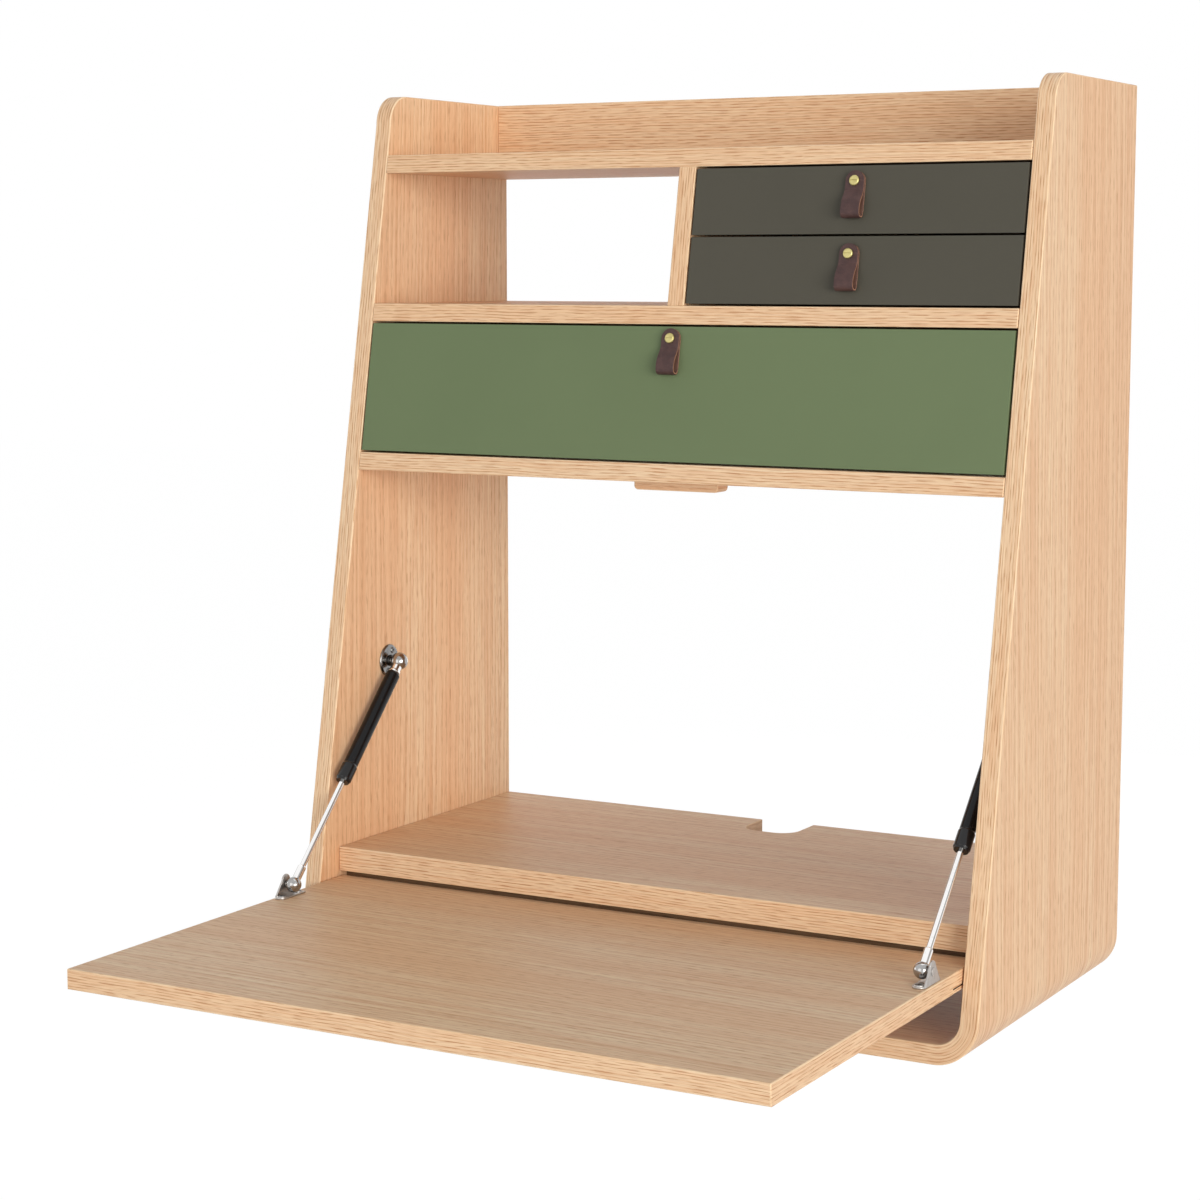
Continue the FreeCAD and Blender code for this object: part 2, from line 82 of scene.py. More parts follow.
# Gas struts
tube_radius = 0.0075
tube_wall = 0.0013
tube_end_thickness = 0.0033
tube_shoulder_length = 0.0022
tube_shoulder_step = 0.0018
tube_start_from_ball = 0.0155
tube_end_from_ball = 0.1535
neck_ring_length = 0.0022
neck_ring_slope = 0.0008
gland_radius = 0.0081
gland_length = 0.022
gland_lip = 0.0026
rod_radius = 0.003
rod_clearance = 0.00005
rod_start = 0.013
rod_in_tube = 0.0105
collar_radius = 0.0043
collar_end = 0.022
collar_chamfer = 0.0012

# Plates, brackets and screws
plate_thickness = 0.0025
boss_radius = 0.0060
boss_height = 0.0012
boss_slope = 0.0008
plate_stud_radius = 0.0035
plate_stud_gap = 0.0003
bracket_sheet = 0.002
bracket_width = 0.013
bracket_nose_radius = 0.0064
ear_radius = 0.0064
ear_foot_length = 0.035
pin_radius = 0.0025
pin_in_ball = 0.0030
rivet_radius = 0.0042
rivet_proud = 0.0007
bracket_screw_from_edge = 0.0068
bracket_screw_from_tail = 0.0056
screw_head_radius = 0.0032
screw_head_height = 0.0011

# Rounding of turned and pressed metal, from broad to fine
tube_edge = 0.0010
metal_edge = 0.0006
gland_edge = 0.0005
ball_edge = 0.0004
washer_edge = 0.0003

# Painted reflection bands, bright and dark, round a chrome rod: how many, and how far they are
# turned
reflection_bands_round_rod = 4
reflection_band_turn = 4.26

# Studio
floor_below_desk = 0.66
floor_reach = 14.0

# The photograph's camera: place, turn and focal length for a square image
camera_place = (1.2134, -2.5729, 0.0833)
camera_yaw = math.radians(29.316)
camera_pitch = math.radians(7.023)
camera_focal_share = 2688.84 / 1200
sensor_width = 36.0

# Edges that are rounded, and edges that stay sharp to the eye
round_from = math.radians(32)
sharp_from = math.radians(40)

# A face of a board that looks less than this along its nearest axis is on a rounded arris
flat_from = 0.97

# Points nearer than this are joined
join_distance = 0.00001

# Places read from the frame
axis_x = Vector((1, 0, 0))
axis_y = Vector((0, 1, 0))
axis_z = Vector((0, 0, 1))
shell_low, shell_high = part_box("shell")
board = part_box("divider")[1].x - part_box("divider")[0].x
half_width = shell_high.x - board
slope = (-top_depth - shell_low.y) / (shell_high.z - shell_low.z)
lean = math.atan(slope)
up_front = Vector((0, math.sin(lean), math.cos(lean)))
out_of_front = Vector((0, -math.cos(lean), math.sin(lean)))
drawers = ("upper_drawer", "lower_drawer", "wide_drawer")
sides = (("left", -1), ("right", 1))
joints = {joint["name"]: joint for joint in frame["joints"]}


def front_y(z):
    """Where the sloping front plane is at a height."""
    return shell_low.y + slope * (z - shell_low.z)


class Wire:
    """A socket of a node tree that takes part in sums."""

    def __init__(self, tree, socket=None):
        self.tree = tree
        self.socket = socket

    def make(self, kind, settings=None, inputs=None, output=0):
        """Add a node: its settings first, then the values or links of its sockets."""
        node = self.tree.nodes.new(kind)
        for name, value in (settings or {}).items():
            setattr(node, name, value)
        for name, values in (inputs or {}).items():
            for value in values if isinstance(values, list) else [values]:
                if isinstance(value, Wire):
                    self.tree.links.new(value.socket, node.inputs[name])
                else:
                    node.inputs[name].default_value = value
        return Wire(self.tree, node.outputs[output])

    def sum(self, operation, first, second):
        """A Math node on two values."""
        return self.make("ShaderNodeMath", {"operation": operation}, {0: first, 1: second})

    def __add__(self, other):
        return self.sum("ADD", self, other)

    def __sub__(self, other):
        return self.sum("SUBTRACT", self, other)

    def __rsub__(self, other):
        return self.sum("SUBTRACT", other, self)

    def __mul__(self, other):
        return self.sum("MULTIPLY", self, other)

    def __truediv__(self, other):
        return self.sum("DIVIDE", self, other)

    def __rtruediv__(self, other):
        return self.sum("DIVIDE", other, self)

    __radd__ = __add__
    __rmul__ = __mul__


def vector(x, y, z):
    """Three values as one vector."""
    wire = next(value for value in (x, y, z) if isinstance(value, Wire))
    return wire.make("ShaderNodeCombineXYZ", None, {0: x, 1: y, 2: z})


def parts_of(wire):
    """The three values of a vector."""
    node = wire.make("ShaderNodeSeparateXYZ", None, {0: wire}).socket.node
    return [Wire(wire.tree, socket) for socket in node.outputs]


def noise(at, scale=1.0, detail=2.0, roughness=0.5):
    """A cloud of values round one half."""
    inputs = {"Vector": at, "Scale": scale, "Detail": detail, "Roughness": roughness}
    return at.make("ShaderNodeTexNoise", {"noise_dimensions": "3D"}, inputs)


def drawn_out(along, across, slice_at=0.0, detail=2.0, roughness=0.5):
    """A cloud of values on two stretched ways, at one slice of the noise."""
    return noise(vector(along, across, slice_at), 1.0, detail, roughness)


def ramp(value, low, high):
    """A smooth step from none to one as a value goes from low to high."""
    settings = {"interpolation_type": "SMOOTHSTEP"}
    return value.make("ShaderNodeMapRange", settings, {0: value, 1: low, 2: high, 3: 0.0, 4: 1.0})


def blend(factor, *colours):
    """A colour between two colours."""
    first, second = [one if isinstance(one, Wire) else (*one, 1) for one in colours]
    inputs = {0: factor, 6: first, 7: second}
    return factor.make("ShaderNodeMix", {"data_type": "RGBA"}, inputs, 2)


def bump(height, strength, distance):
    """A normal from a height."""
    inputs = {"Strength": strength, "Distance": distance, "Height": height}
    return height.make("ShaderNodeBump", None, inputs)


def finish_of(name, build, **details):
    """A material from the sockets that build gives: wires change over a surface, numbers don't."""
    material = bpy.data.materials.new(name)
    material.use_nodes = True
    tree = material.node_tree
    shader = tree.nodes["Principled BSDF"]
    for socket, value in build(Wire(tree), **details).items():
        if isinstance(value, Wire):
            tree.links.new(value.socket, shader.inputs[socket])
        else:
            shader.inputs[socket].default_value = value
    return material


def grain_place(tree):
    """Along and across the grain, from the piece's own map."""
    return parts_of(tree.make("ShaderNodeUVMap", {"uv_map": "grain"}))[:2]


def object_place(tree, output="Object"):
    """The place in the part's frame, or another of its coordinates."""
    return tree.make("ShaderNodeTexCoord", None, None, output)


def wood_grain(along, across, tones, cut):
    """Oak: slow bands, growth rings that darken to one side, fibres, and pores along the rings."""
    pale, warm, deep, ring_colour, pore_colour = tones
    drift = drawn_out(along * 0.8, across * 4.0, 0.0, 1.0)
    ripple = drawn_out(along * 7.0, across * 25.0, 4.0, 1.0)
    line = across + along * cut["slant"]
    line = line + (drift - 0.5) * cut["wander"] + (ripple - 0.5) * cut["ripple"]
    spread = drawn_out(along * 0.8, line * 24.0, 2.0)
    phase = line * cut["rings"] + spread * cut["ring_spread"]
    phase = phase.make("ShaderNodeMath", {"operation": "FRACT"}, {0: phase})
    ring = ramp(phase, cut["ring_start"], 1.0)
    band = drawn_out(along * 0.6, line * 12.0, 3.0)
    flame = drawn_out(along * 1.1, line * 75.0, 9.0, 2.0, 0.6)
    streak = drawn_out(along * cut["streaks"], line * 330.0, 7.0, 4.0, 0.65)
    fibre = drawn_out(along * 30.0, line * 900.0, 1.0)
    pore = drawn_out(along / cut["pore_length"], line / cut["pore_width"], 5.0, 1.0)
    pore = ramp(pore, cut["pore_start"], cut["pore_start"] + 0.12) * (0.25 + ring * 0.75)
    colour = blend(ramp(band, 0.36, 0.64), pale, warm)
    colour = blend(ramp(flame, 0.42, 0.72) * cut["flame_share"], colour, deep)
    colour = blend(ramp(streak, 0.40, 0.66) * cut["streak_share"], colour, deep)
    colour = blend(ring * ramp(streak, 0.30, 0.60) * cut["ring_share"], colour, ring_colour)
    colour = blend(ramp(fibre, 0.46, 0.76) * cut["fibre_share"], colour, ring_colour)
    height = fibre * 0.35 + streak * 0.4 - pore * 0.9
    return {
        "Base Color": blend(pore * cut["pore_share"], colour, pore_colour),
        "Roughness": 0.40 + fibre * 0.12 + pore * 0.10,
        "Normal": bump(height, 0.22, 0.0004),
        "Specular IOR Level": 0.30,
    }


def oak(tree, tones, cut):
    """Clear-lacquered oak veneer that follows the piece's grain map."""
    return wood_grain(*grain_place(tree), tones, cut)


def solid_wood(tree, tones, grain):
    """Wood with its grain along one axis of the part's frame."""
    x, y, z = parts_of(object_place(tree))
    along, first, second = {"x": (x, y, z), "y": (y, z, x)}[grain]
    return wood_grain(along, first + second * 0.83, tones, face_cut)


def plywood(tree, thickness):
    """Birch plywood with its veneers showing on the cut edges."""
    x, y, z = parts_of(object_place(tree))
    through, along, across = {"x": (x, y, z), "y": (y, x, z), "z": (z, x, y)}[thickness]
    looks = wood_grain(along, across, birch_tones, birch_cut)
    turned_to = parts_of(object_place(tree, "Normal"))["xyz".index(thickness)]
    edge = 1.0 - ramp(turned_to * turned_to, 0.3, 0.6)
    layer = noise(vector(through * 900.0, along * 6.0, across * 6.0), 1.0, 0.0)
    share = edge * ramp(layer, 0.40, 0.60) * 0.7
    looks["Base Color"] = blend(share, looks["Base Color"], birch_tones[-1])
    return looks


def paint(tree, colour, lighter):
    """Satin paint with a fine rolled texture and slight unevenness."""
    place = object_place(tree)
    cloud = noise(place, 9.0, 3.0)
    stipple = noise(place, 1400.0, 2.0)
    speck = ramp(noise(place, 520.0, 1.0), 0.62, 0.80)
    return {
        "Base Color": blend(ramp(cloud, 0.3, 0.7) * 0.55 + speck * 0.15, colour, lighter),
        "Roughness": 0.40 + cloud * 0.10 + stipple * 0.06,
        "Normal": bump(stipple, 0.06, 0.0002),
        "Specular IOR Level": 0.16,
    }


def leather(tree, deep, light, pit, rubbed):
    """Vegetable-tanned leather with pebbled grain, creases and rubbed high spots."""
    place = object_place(tree)
    along, across = grain_place(tree)
    settings = {"feature": "DISTANCE_TO_EDGE"}
    cell = tree.make("ShaderNodeTexVoronoi", settings, {"Vector": place, "Scale": 1500.0})
    pebble = ramp(cell, 0.0, 0.35)
    cloud = noise(place, 130.0, 3.0)
    crease = ramp(drawn_out(along * 420.0, across * 60.0), 0.58, 0.72)
    shade = blend(ramp(cloud, 0.3, 0.72), deep, light)
    shade = blend((1.0 - pebble) * 0.35, shade, pit)
    return {
        "Base Color": blend(crease * 0.18, shade, rubbed),
        "Roughness": 0.46 + cloud * 0.16,
        "Normal": bump(pebble * 0.8 + cloud * 0.5 - crease * 0.3, 0.35, 0.0003),
        "Specular IOR Level": 0.42,
    }


def cut_leather(tree, tan, pale, dark):
    """The raw cut edge of a strap: pale fibres with a burnished skin."""
    place = object_place(tree)
    along, across = grain_place(tree)
    fibre = drawn_out(along * 600.0, across * 1800.0)
    shade = blend(ramp(fibre, 0.3, 0.7), tan, pale)
    return {
        "Base Color": blend(ramp(noise(place, 260.0, 2.0), 0.5, 0.75) * 0.5, shade, dark),
        "Roughness": 0.62 + fibre * 0.15,
        "Normal": bump(fibre, 0.3, 0.0002),
        "Specular IOR Level": 0.3,
    }


def flesh_leather(tree, deep, light):
    """The rough inner side of a strap: short brown fibres."""
    place = object_place(tree)
    along, across = grain_place(tree)
    nap = drawn_out(along * 900.0, across * 1500.0, 0.0, 3.0, 0.65)
    share = ramp(nap, 0.3, 0.7) * 0.6 + ramp(noise(place, 150.0, 2.0), 0.35, 0.7) * 0.4
    return {
        "Base Color": blend(share, deep, light),
        "Roughness": 0.72 + nap * 0.15,
        "Normal": bump(nap, 0.35, 0.0003),
        "Specular IOR Level": 0.2,
    }


def turned_metal(tree, colour, darker, rough, rings):
    """Metal with turning marks round its axis and faint handling smudges."""
    round_it, along = grain_place(tree)
    ring = drawn_out(round_it * 0.6, along * 5200.0)
    smudge = ramp(noise(object_place(tree), 160.0, 3.0), 0.45, 0.75)
    return {
        "Base Color": blend(smudge * 0.5 + ring * 0.2, colour, darker),
        "Roughness": rough + smudge * 0.07 + ring * 0.04,
        "Normal": bump(ring, rings, 0.0001),
        "Metallic": 1.0,
    }


def chrome_with_painted_reflections(tree, colour, darker, rough):
    """Bright rod with painted reflections: dark bands along it at fixed turns round it, and fine
    drawing lines.
    """
    round_it, along = grain_place(tree)
    wave = round_it * (reflection_bands_round_rod * 2 * math.pi) + reflection_band_turn
    wave = wave.make("ShaderNodeMath", {"operation": "SINE"}, {0: wave})
    fine = drawn_out(round_it * 60.0, along * 5.0, 0.0, 1.0)
    smudge = ramp(noise(object_place(tree), 220.0, 2.0), 0.55, 0.80)
    # Painted reflection: the rod darkens in bands at fixed turns round it
    dark = ramp(wave + (fine - 0.5) * 0.2, 0.45, 0.98)
    return {
        "Base Color": blend(dark * 0.85 + smudge * 0.10, colour, darker),
        "Roughness": rough + fine * 0.06,
        "Normal": bump(fine, 0.04, 0.0001),
        "Metallic": 1.0,
    }


def pressed_metal(tree, colour, darker, rough):
    """Plated sheet metal with a fine uneven polish."""
    place = object_place(tree)
    smudge = ramp(noise(place, 260.0, 3.0), 0.45, 0.8)
    return {
        "Base Color": blend(smudge * 0.45, colour, darker),
        "Roughness": rough + smudge * 0.08,
        "Normal": bump(noise(place, 90.0, 2.0), 0.05, 0.0005),
        "Metallic": 1.0,
    }


def black_finish(tree, rough, gloss):
    """Black lacquer or plastic with dust and faint rub marks along the piece."""
    round_it, along = grain_place(tree)
    rub = ramp(drawn_out(round_it * 42.0, along * 60.0), 0.55, 0.80)
    dust = ramp(noise(object_place(tree), 900.0, 2.0), 0.64, 0.80)
    return {
        "Base Color": blend(rub * 0.25 + dust * 0.25, black_deep, black_light),
        "Roughness": rough + rub * 0.12,
        "Normal": bump(dust, 0.08, 0.0001),
        "Specular IOR Level": gloss,
    }


# Colours, linear. A wood has a pale, a warm, a deep, a ring and a pore tone.
oak_tones = (
    (0.890, 0.665, 0.435), (0.860, 0.570, 0.345), (0.770, 0.450, 0.250), (0.660, 0.345, 0.175),
    (0.480, 0.230, 0.110),
)
# The same oak, a little less red and more blue, for the flap and inner shelf: painted cool light
# from above
desk_tones_cooled = (
    (0.848, 0.663, 0.445), (0.820, 0.568, 0.353), (0.734, 0.449, 0.256), (0.628, 0.344, 0.179),
    (0.457, 0.229, 0.113),
)
edge_tones = (
    (0.890, 0.677, 0.452), (0.875, 0.610, 0.382), (0.820, 0.511, 0.295), (0.658, 0.336, 0.160),
    (0.490, 0.214, 0.088),
)
# Paler oak tones for the rounded arrises: a painted highlight along the edges
arris_highlight_tones = (
    (0.930, 0.720, 0.490), (0.920, 0.690, 0.450), (0.880, 0.610, 0.370), (0.800, 0.500, 0.270),
    (0.650, 0.360, 0.180),
)
# Near-black oak tones for the rail behind the inner shelf: painted shade, so the gap under the
# shelf reads dark
gap_shade_tones = (
    (0.265, 0.160, 0.086), (0.245, 0.145, 0.076), (0.205, 0.118, 0.060), (0.160, 0.088, 0.043),
    (0.100, 0.052, 0.025),
)
# Near-black tones for the sloped faces in the hinge strip's end gaps: painted shade in those gaps
strip_gap_shade_tones = (
    (0.130, 0.083, 0.052), (0.118, 0.074, 0.045), (0.098, 0.060, 0.035), (0.076, 0.045, 0.026),
    (0.050, 0.028, 0.016),
)
birch_tones = (
    (0.800, 0.610, 0.405), (0.780, 0.575, 0.370), (0.730, 0.515, 0.320), (0.640, 0.425, 0.250),
    (0.380, 0.218, 0.117),
)
black_light = (0.022, 0.022, 0.023)
black_deep = (0.005, 0.005, 0.006)

# How a wood is cut: slant and wander of its lines, rings to the metre, size and share of its pores
face_cut = {
    "slant": 0.03, "wander": 0.050, "ripple": 0.0020,
    "rings": 130.0, "ring_spread": 5.5, "ring_start": 0.25, "ring_share": 0.48,
    "flame_share": 0.70, "streaks": 8.0, "streak_share": 0.66, "fibre_share": 0.36,
    "pore_length": 0.015, "pore_width": 0.0013, "pore_start": 0.50, "pore_share": 0.52,
}
edge_cut = {
    "slant": 0.004, "wander": 0.022, "ripple": 0.0050,
    "rings": 360.0, "ring_spread": 4.0, "ring_start": 0.45, "ring_share": 0.60,
    "flame_share": 0.35, "streaks": 6.5, "streak_share": 0.48, "fibre_share": 0.25,
    "pore_length": 0.021, "pore_width": 0.0010, "pore_start": 0.47, "pore_share": 0.90,
}
birch_cut = dict(face_cut, ring_share=0.25, pore_share=0.15)

# Woods
shell_oak = finish_of("shell_oak", oak, tones=oak_tones, cut=face_cut)
# Desk oak: the shell's oak cooled, as painted light for the desk tops
desk_oak = finish_of("desk_oak", oak, tones=desk_tones_cooled, cut=face_cut)
edge_oak = finish_of("edge_oak", oak, tones=edge_tones, cut=edge_cut)
# Paler oak on rounded arrises: a painted highlight
arris_painted_highlight = finish_of("arris_painted_highlight", oak, tones=arris_highlight_tones, cut=edge_cut)
rail_wood = finish_of("rail_wood", solid_wood, tones=oak_tones, grain="x")
# Painted shade: the rail behind the gap under the inner shelf, near black
rail_painted_shade = finish_of("rail_painted_shade", solid_wood, tones=gap_shade_tones, grain="x")
# Painted shade for the hinge strip's end gaps
strip_gap_painted_shade = finish_of("strip_gap_painted_shade", solid_wood, tones=strip_gap_shade_tones, grain="y")
runner_wood = finish_of("runner_wood", solid_wood, tones=birch_tones, grain="y")
ply_sides = finish_of("ply_sides", plywood, thickness="x")
ply_back = finish_of("ply_back", plywood, thickness="y")
ply_bottom = finish_of("ply_bottom", plywood, thickness="z")

# Paint and leather
dark_front = finish_of(
    "dark_front", paint, colour=(0.080, 0.075, 0.058), lighter=(0.087, 0.081, 0.063)
)
green_front = finish_of(
    "green_front", paint, colour=(0.151, 0.200, 0.102), lighter=(0.159, 0.210, 0.108)
)
strap_leather = finish_of(
    "strap_leather", leather, deep=(0.052, 0.021, 0.020), light=(0.088, 0.041, 0.037),
    pit=(0.026, 0.012, 0.011), rubbed=(0.170, 0.092, 0.076),
)
strap_edge = finish_of(
    "strap_edge", cut_leather, tan=(0.260, 0.118, 0.070), pale=(0.420, 0.225, 0.145),
    dark=(0.120, 0.050, 0.033),
)
strap_flesh = finish_of(
    "strap_flesh", flesh_leather, deep=(0.105, 0.048, 0.034), light=(0.205, 0.105, 0.074)
)

# Metals and blacks
brass = finish_of(
    "brass", turned_metal, colour=(0.530, 0.465, 0.205), darker=(0.370, 0.305, 0.115),
    rough=0.42, rings=0.10,
)
ball_chrome = finish_of(
    "ball_chrome", turned_metal, colour=(0.430, 0.422, 0.415), darker=(0.250, 0.243, 0.238),
    rough=0.10, rings=0.02,
)
# Chrome with painted reflection bands, for rods, collars and necks
rod_chrome = finish_of(
    "rod_chrome", chrome_with_painted_reflections, colour=(0.940, 0.930, 0.920), darker=(0.270, 0.245, 0.230),
    rough=0.06,
)
plated_sheet = finish_of(
    "plated_sheet", pressed_metal, colour=(0.470, 0.446, 0.427), darker=(0.280, 0.264, 0.252),
    rough=0.34,
)
screw_steel = finish_of(
    "screw_steel", pressed_metal, colour=(0.200, 0.194, 0.190), darker=(0.070, 0.067, 0.065),
    rough=0.34,
)
plate_steel = finish_of(
    "plate_steel", pressed_metal, colour=(0.270, 0.264, 0.260), darker=(0.110, 0.107, 0.105),
    rough=0.14,
)
hub_steel = finish_of(
    "hub_steel", pressed_metal, colour=(0.045, 0.044, 0.043), darker=(0.016, 0.016, 0.016),
    rough=0.36,
)
pin_steel = finish_of(
    "pin_steel", pressed_metal, colour=(0.300, 0.295, 0.290), darker=(0.120, 0.115, 0.110),
    rough=0.25,
)
black_lacquer = finish_of("black_lacquer", black_finish, rough=0.17, gloss=0.24)
black_plastic = finish_of("black_plastic", black_finish, rough=0.16, gloss=0.42)

# A new stretch of veneer for each piece, and another for the outer face of the shell
veneer_step = 1.37
outer_veneer = 1.9
veneer_place = [0.0]


def next_veneer():
    """Where the next piece's veneer starts."""
    veneer_place[0] += veneer_step
    return veneer_place[0]


def add_object(name, data):
    """Put data in the scene, at the origin."""
    thing = bpy.data.objects.new(name, data)
    bpy.context.scene.collection.objects.link(thing)
    return thing


def mesh_of(built, name):
    """A mesh of built geometry."""
    mesh = bpy.data.meshes.new(name)
    built.to_mesh(mesh)
    built.free()
    return mesh


def merge_into(both, built):
    """Add one built shape to another."""
    mesh = mesh_of(built, "merged_shape")
    both.from_mesh(mesh)
    bpy.data.meshes.remove(mesh)


def evaluated_mesh(thing, name):
    """What an object's modifiers make of it, as a plain mesh."""
    bpy.context.view_layer.update()
    evaluated = thing.evaluated_get(bpy.context.evaluated_depsgraph_get())
    mesh = bpy.data.meshes.new_from_object(evaluated)
    mesh.name = name
    return mesh


def place_piece(built, name, body, slot, node, materials):
    """Turn built geometry into a finished piece that rides a body and stands for a node."""
    for edge in built.edges:
        if edge.calc_face_angle(0) > sharp_from:
            edge.smooth = False
    mesh = mesh_of(built, name)
    mesh.polygons.foreach_set("use_smooth", [True] * len(mesh.polygons))
    for material in materials:
        mesh.materials.append(material)
    piece = add_object(name, mesh)
    shading = piece.modifiers.new("even_shading", "WEIGHTED_NORMAL")
    shading.keep_sharp = True
    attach(piece, body)
    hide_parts(node)
    return piece


def arc(centre, radius, start, end, steps):
    """Points of an arc in a plane, angles in degrees."""
    points = []
    for step in range(steps + 1):
        angle = math.radians(start + (end - start) * step / steps)
        spot = (centre[0] + radius * math.cos(angle), centre[1] + radius * math.sin(angle))
        points.append(spot)
    return points


def lengths_along(points):
    """How far each point of a line lies from its start."""
    lengths = [0.0]
    for before, after in zip(points, points[1:]):
        lengths.append(lengths[-1] + math.dist(before, after))
    return lengths


def nearest_axis(normal):
    """The frame axis that a face looks along most."""
    index = max(range(3), key=lambda axis: abs(normal[axis]))
    axis = Vector((0, 0, 0))
    axis[index] = math.copysign(1, normal[index])
    return axis


def map_grain(built, grain, edges):
    """Lay the grain map on every face: along the grain in U, across it in V, in metres.
    Faces that look along one of the edge ways take the second finish, rounded arrises the third."""
    offset = next_veneer()
    layer = built.loops.layers.uv.new("grain")
    for face in built.faces:
        looks = nearest_axis(face.normal)
        along = axis_y if abs(looks.dot(grain)) > 0.5 else grain
        across = looks.cross(along)
        shift = offset + 0.31 * (looks.x + 2 * looks.y + 3 * looks.z)
        face.material_index = 1 if any(looks.dot(way) > 0.5 for way in edges) else 0
        # Rounded arrises take the third finish, a paler oak: painted highlight
        if abs(looks.dot(face.normal)) < flat_from:
            face.material_index = 2
        for loop in face.loops:
            place = loop.vert.co
            loop[layer].uv = (place.dot(along) + shift, place.dot(across) + shift)


def over_x(a, b, level):
    """Outline in Y and Z, length along X."""
    return (level, a, b)


def over_y(a, b, level):
    """Outline in X and Z, length along Y."""
    return (a, level, b)


def over_z(a, b, level):
    """Outline in X and Y, length along Z."""
    return (a, b, level)


def prism(outline, spot, low, high, radius, wanted=lambda edge: True):
    """A straight solid over an outline, its sharp edges rounded where that is wanted.
    spot turns outline and height into a place."""
    built = bmesh.new()
    ends = [[built.verts.new(spot(a, b, level)) for a, b in outline] for level in (low, high)]
    for end in ends:
        built.faces.new(end)
    count = len(outline)
    for index in range(count):
        after = (index + 1) % count
        built.faces.new((ends[0][index], ends[0][after], ends[1][after], ends[1][index]))
    bmesh.ops.recalc_face_normals(built, faces=built.faces)
    sharp = [edge for edge in built.edges if edge.calc_face_angle(0) > round_from]
    bmesh.ops.bevel(
        built, geom=[edge for edge in sharp if wanted(edge)], offset=radius, segments=3,
        offset_type="OFFSET", profile=0.5, affect="EDGES", clamp_overlap=True,
    )
    bmesh.ops.recalc_face_normals(built, faces=built.faces)
    return built


def place_oak(built, name, node, grain, edges, face=shell_oak, body="carcass", slot="oak"):
    """Lay the grain on a board and place it."""
    map_grain(built, grain, edges)
    place_piece(built, name, body, slot, node, [face, edge_oak, arris_painted_highlight])


def make_board(node, grain, inset):
    """A shelf or divider with its front cut to the slope."""
    low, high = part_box(node)
    outline = ((0, low.z), (front_y(low.z), low.z), (front_y(high.z), high.z), (0, high.z))
    built = prism(outline, over_x, low.x + inset, high.x - inset, board_edge_radius)
    place_oak(built, node + "_oak", node, grain, [-axis_y])


def make_top_rail():
    """The rail that closes the tray at the wall."""
    low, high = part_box("top_rail")
    outline = ((low.y, low.z), (high.y, low.z), (high.y, high.z), (low.y, high.z))
    built = prism(outline, over_x, low.x, high.x, board_edge_radius)
    place_oak(built, "top_rail_oak", "top_rail", axis_x, [-axis_y, axis_z])


def make_flap():
    """The flap, rebated at the back of its underside for the strip that holds the hinge pins."""
    low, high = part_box("flap_panel")
    strip_low, strip_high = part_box("hinge_strip")
    outline = (
        (low.y, strip_low.z),
        (strip_low.y, strip_low.z),
        (strip_low.y, strip_high.z),
        (high.y, strip_high.z),
        (high.y, high.z),
        (low.y, high.z),
    )
    small = board_edge_radius / 10

    def out_of_rebate(edge):
        """Whether an edge lies away from the rebate's walls."""
        for vert in edge.verts:
            in_depth = strip_low.y - small < vert.co.y < strip_high.y + small
            if in_depth and vert.co.z < strip_high.z + small:
                return False
        return True

    built = prism(outline, over_x, low.x, high.x, flap_edge_radius, out_of_rebate)
    edges = [-axis_y, axis_x, -axis_x]
    place_oak(built, "flap_oak", "flap_panel", axis_x, edges, desk_oak, "flap", "desk_oak")
    outline = (
        (strip_low.x, strip_low.z),
        (strip_high.x, strip_low.z),
        (strip_high.x, strip_high.z - strip_end_gap),
        (strip_high.x - strip_end_gap_depth, strip_high.z),
        (strip_low.x + strip_end_gap_depth, strip_high.z),
        (strip_low.x, strip_high.z - strip_end_gap),
    )
    built = prism(outline, over_y, strip_low.y, strip_high.y, strip_edge_radius)
    map_grain(built, axis_x, [axis_x, -axis_x])
    # The sloped faces of the strip's end gaps take the fourth finish, near black: painted shade
    for face in built.faces:
        at_end = abs(face.calc_center_median().x) > strip_high.x - strip_end_gap_depth
        if at_end and face.normal.z > 0.5:
            face.material_index = 3
    finishes = [shell_oak, edge_oak, arris_painted_highlight, strip_gap_painted_shade]
    place_piece(built, "hinge_strip_oak", "flap", "oak", "hinge_strip", finishes)


def make_inner_shelf():
    """The fixed desk top with its rounded cable notch at the wall."""
    low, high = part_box("inner_shelf")
    inner = notch_half_width - notch_corner_radius
    floor = notch_corner_radius - notch_depth
    left, right = low.x + seam, high.x - seam
    outline = [(left, 0), (left, low.y), (right, low.y), (right, 0), (notch_half_width, 0)]
    outline += arc((inner, floor), notch_corner_radius, 0, -90, 8)
    outline += arc((-inner, floor), notch_corner_radius, -90, -180, 8)
    outline.append((-notch_half_width, 0))
    built = prism(outline, over_z, low.z, high.z, board_edge_radius)
    place_oak(
        built, "inner_shelf_oak", "inner_shelf", axis_x, [-axis_y], desk_oak, slot="desk_oak"
    )


def make_under_block():
    """The small block under the low shelf, with rounded lower corners."""
    low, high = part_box("under_block")
    radius = block_corner_radius
    outline = [(high.x, high.z)]
    outline += arc((high.x - radius, low.z + radius), radius, 0, -90, 6)
    outline += arc((low.x + radius, low.z + radius), radius, -90, -180, 6)
    outline.append((low.x, high.z))
    built = prism(outline, over_y, low.y, high.y, board_edge_radius)
    place_oak(built, "under_block_oak", "under_block", axis_x, [])


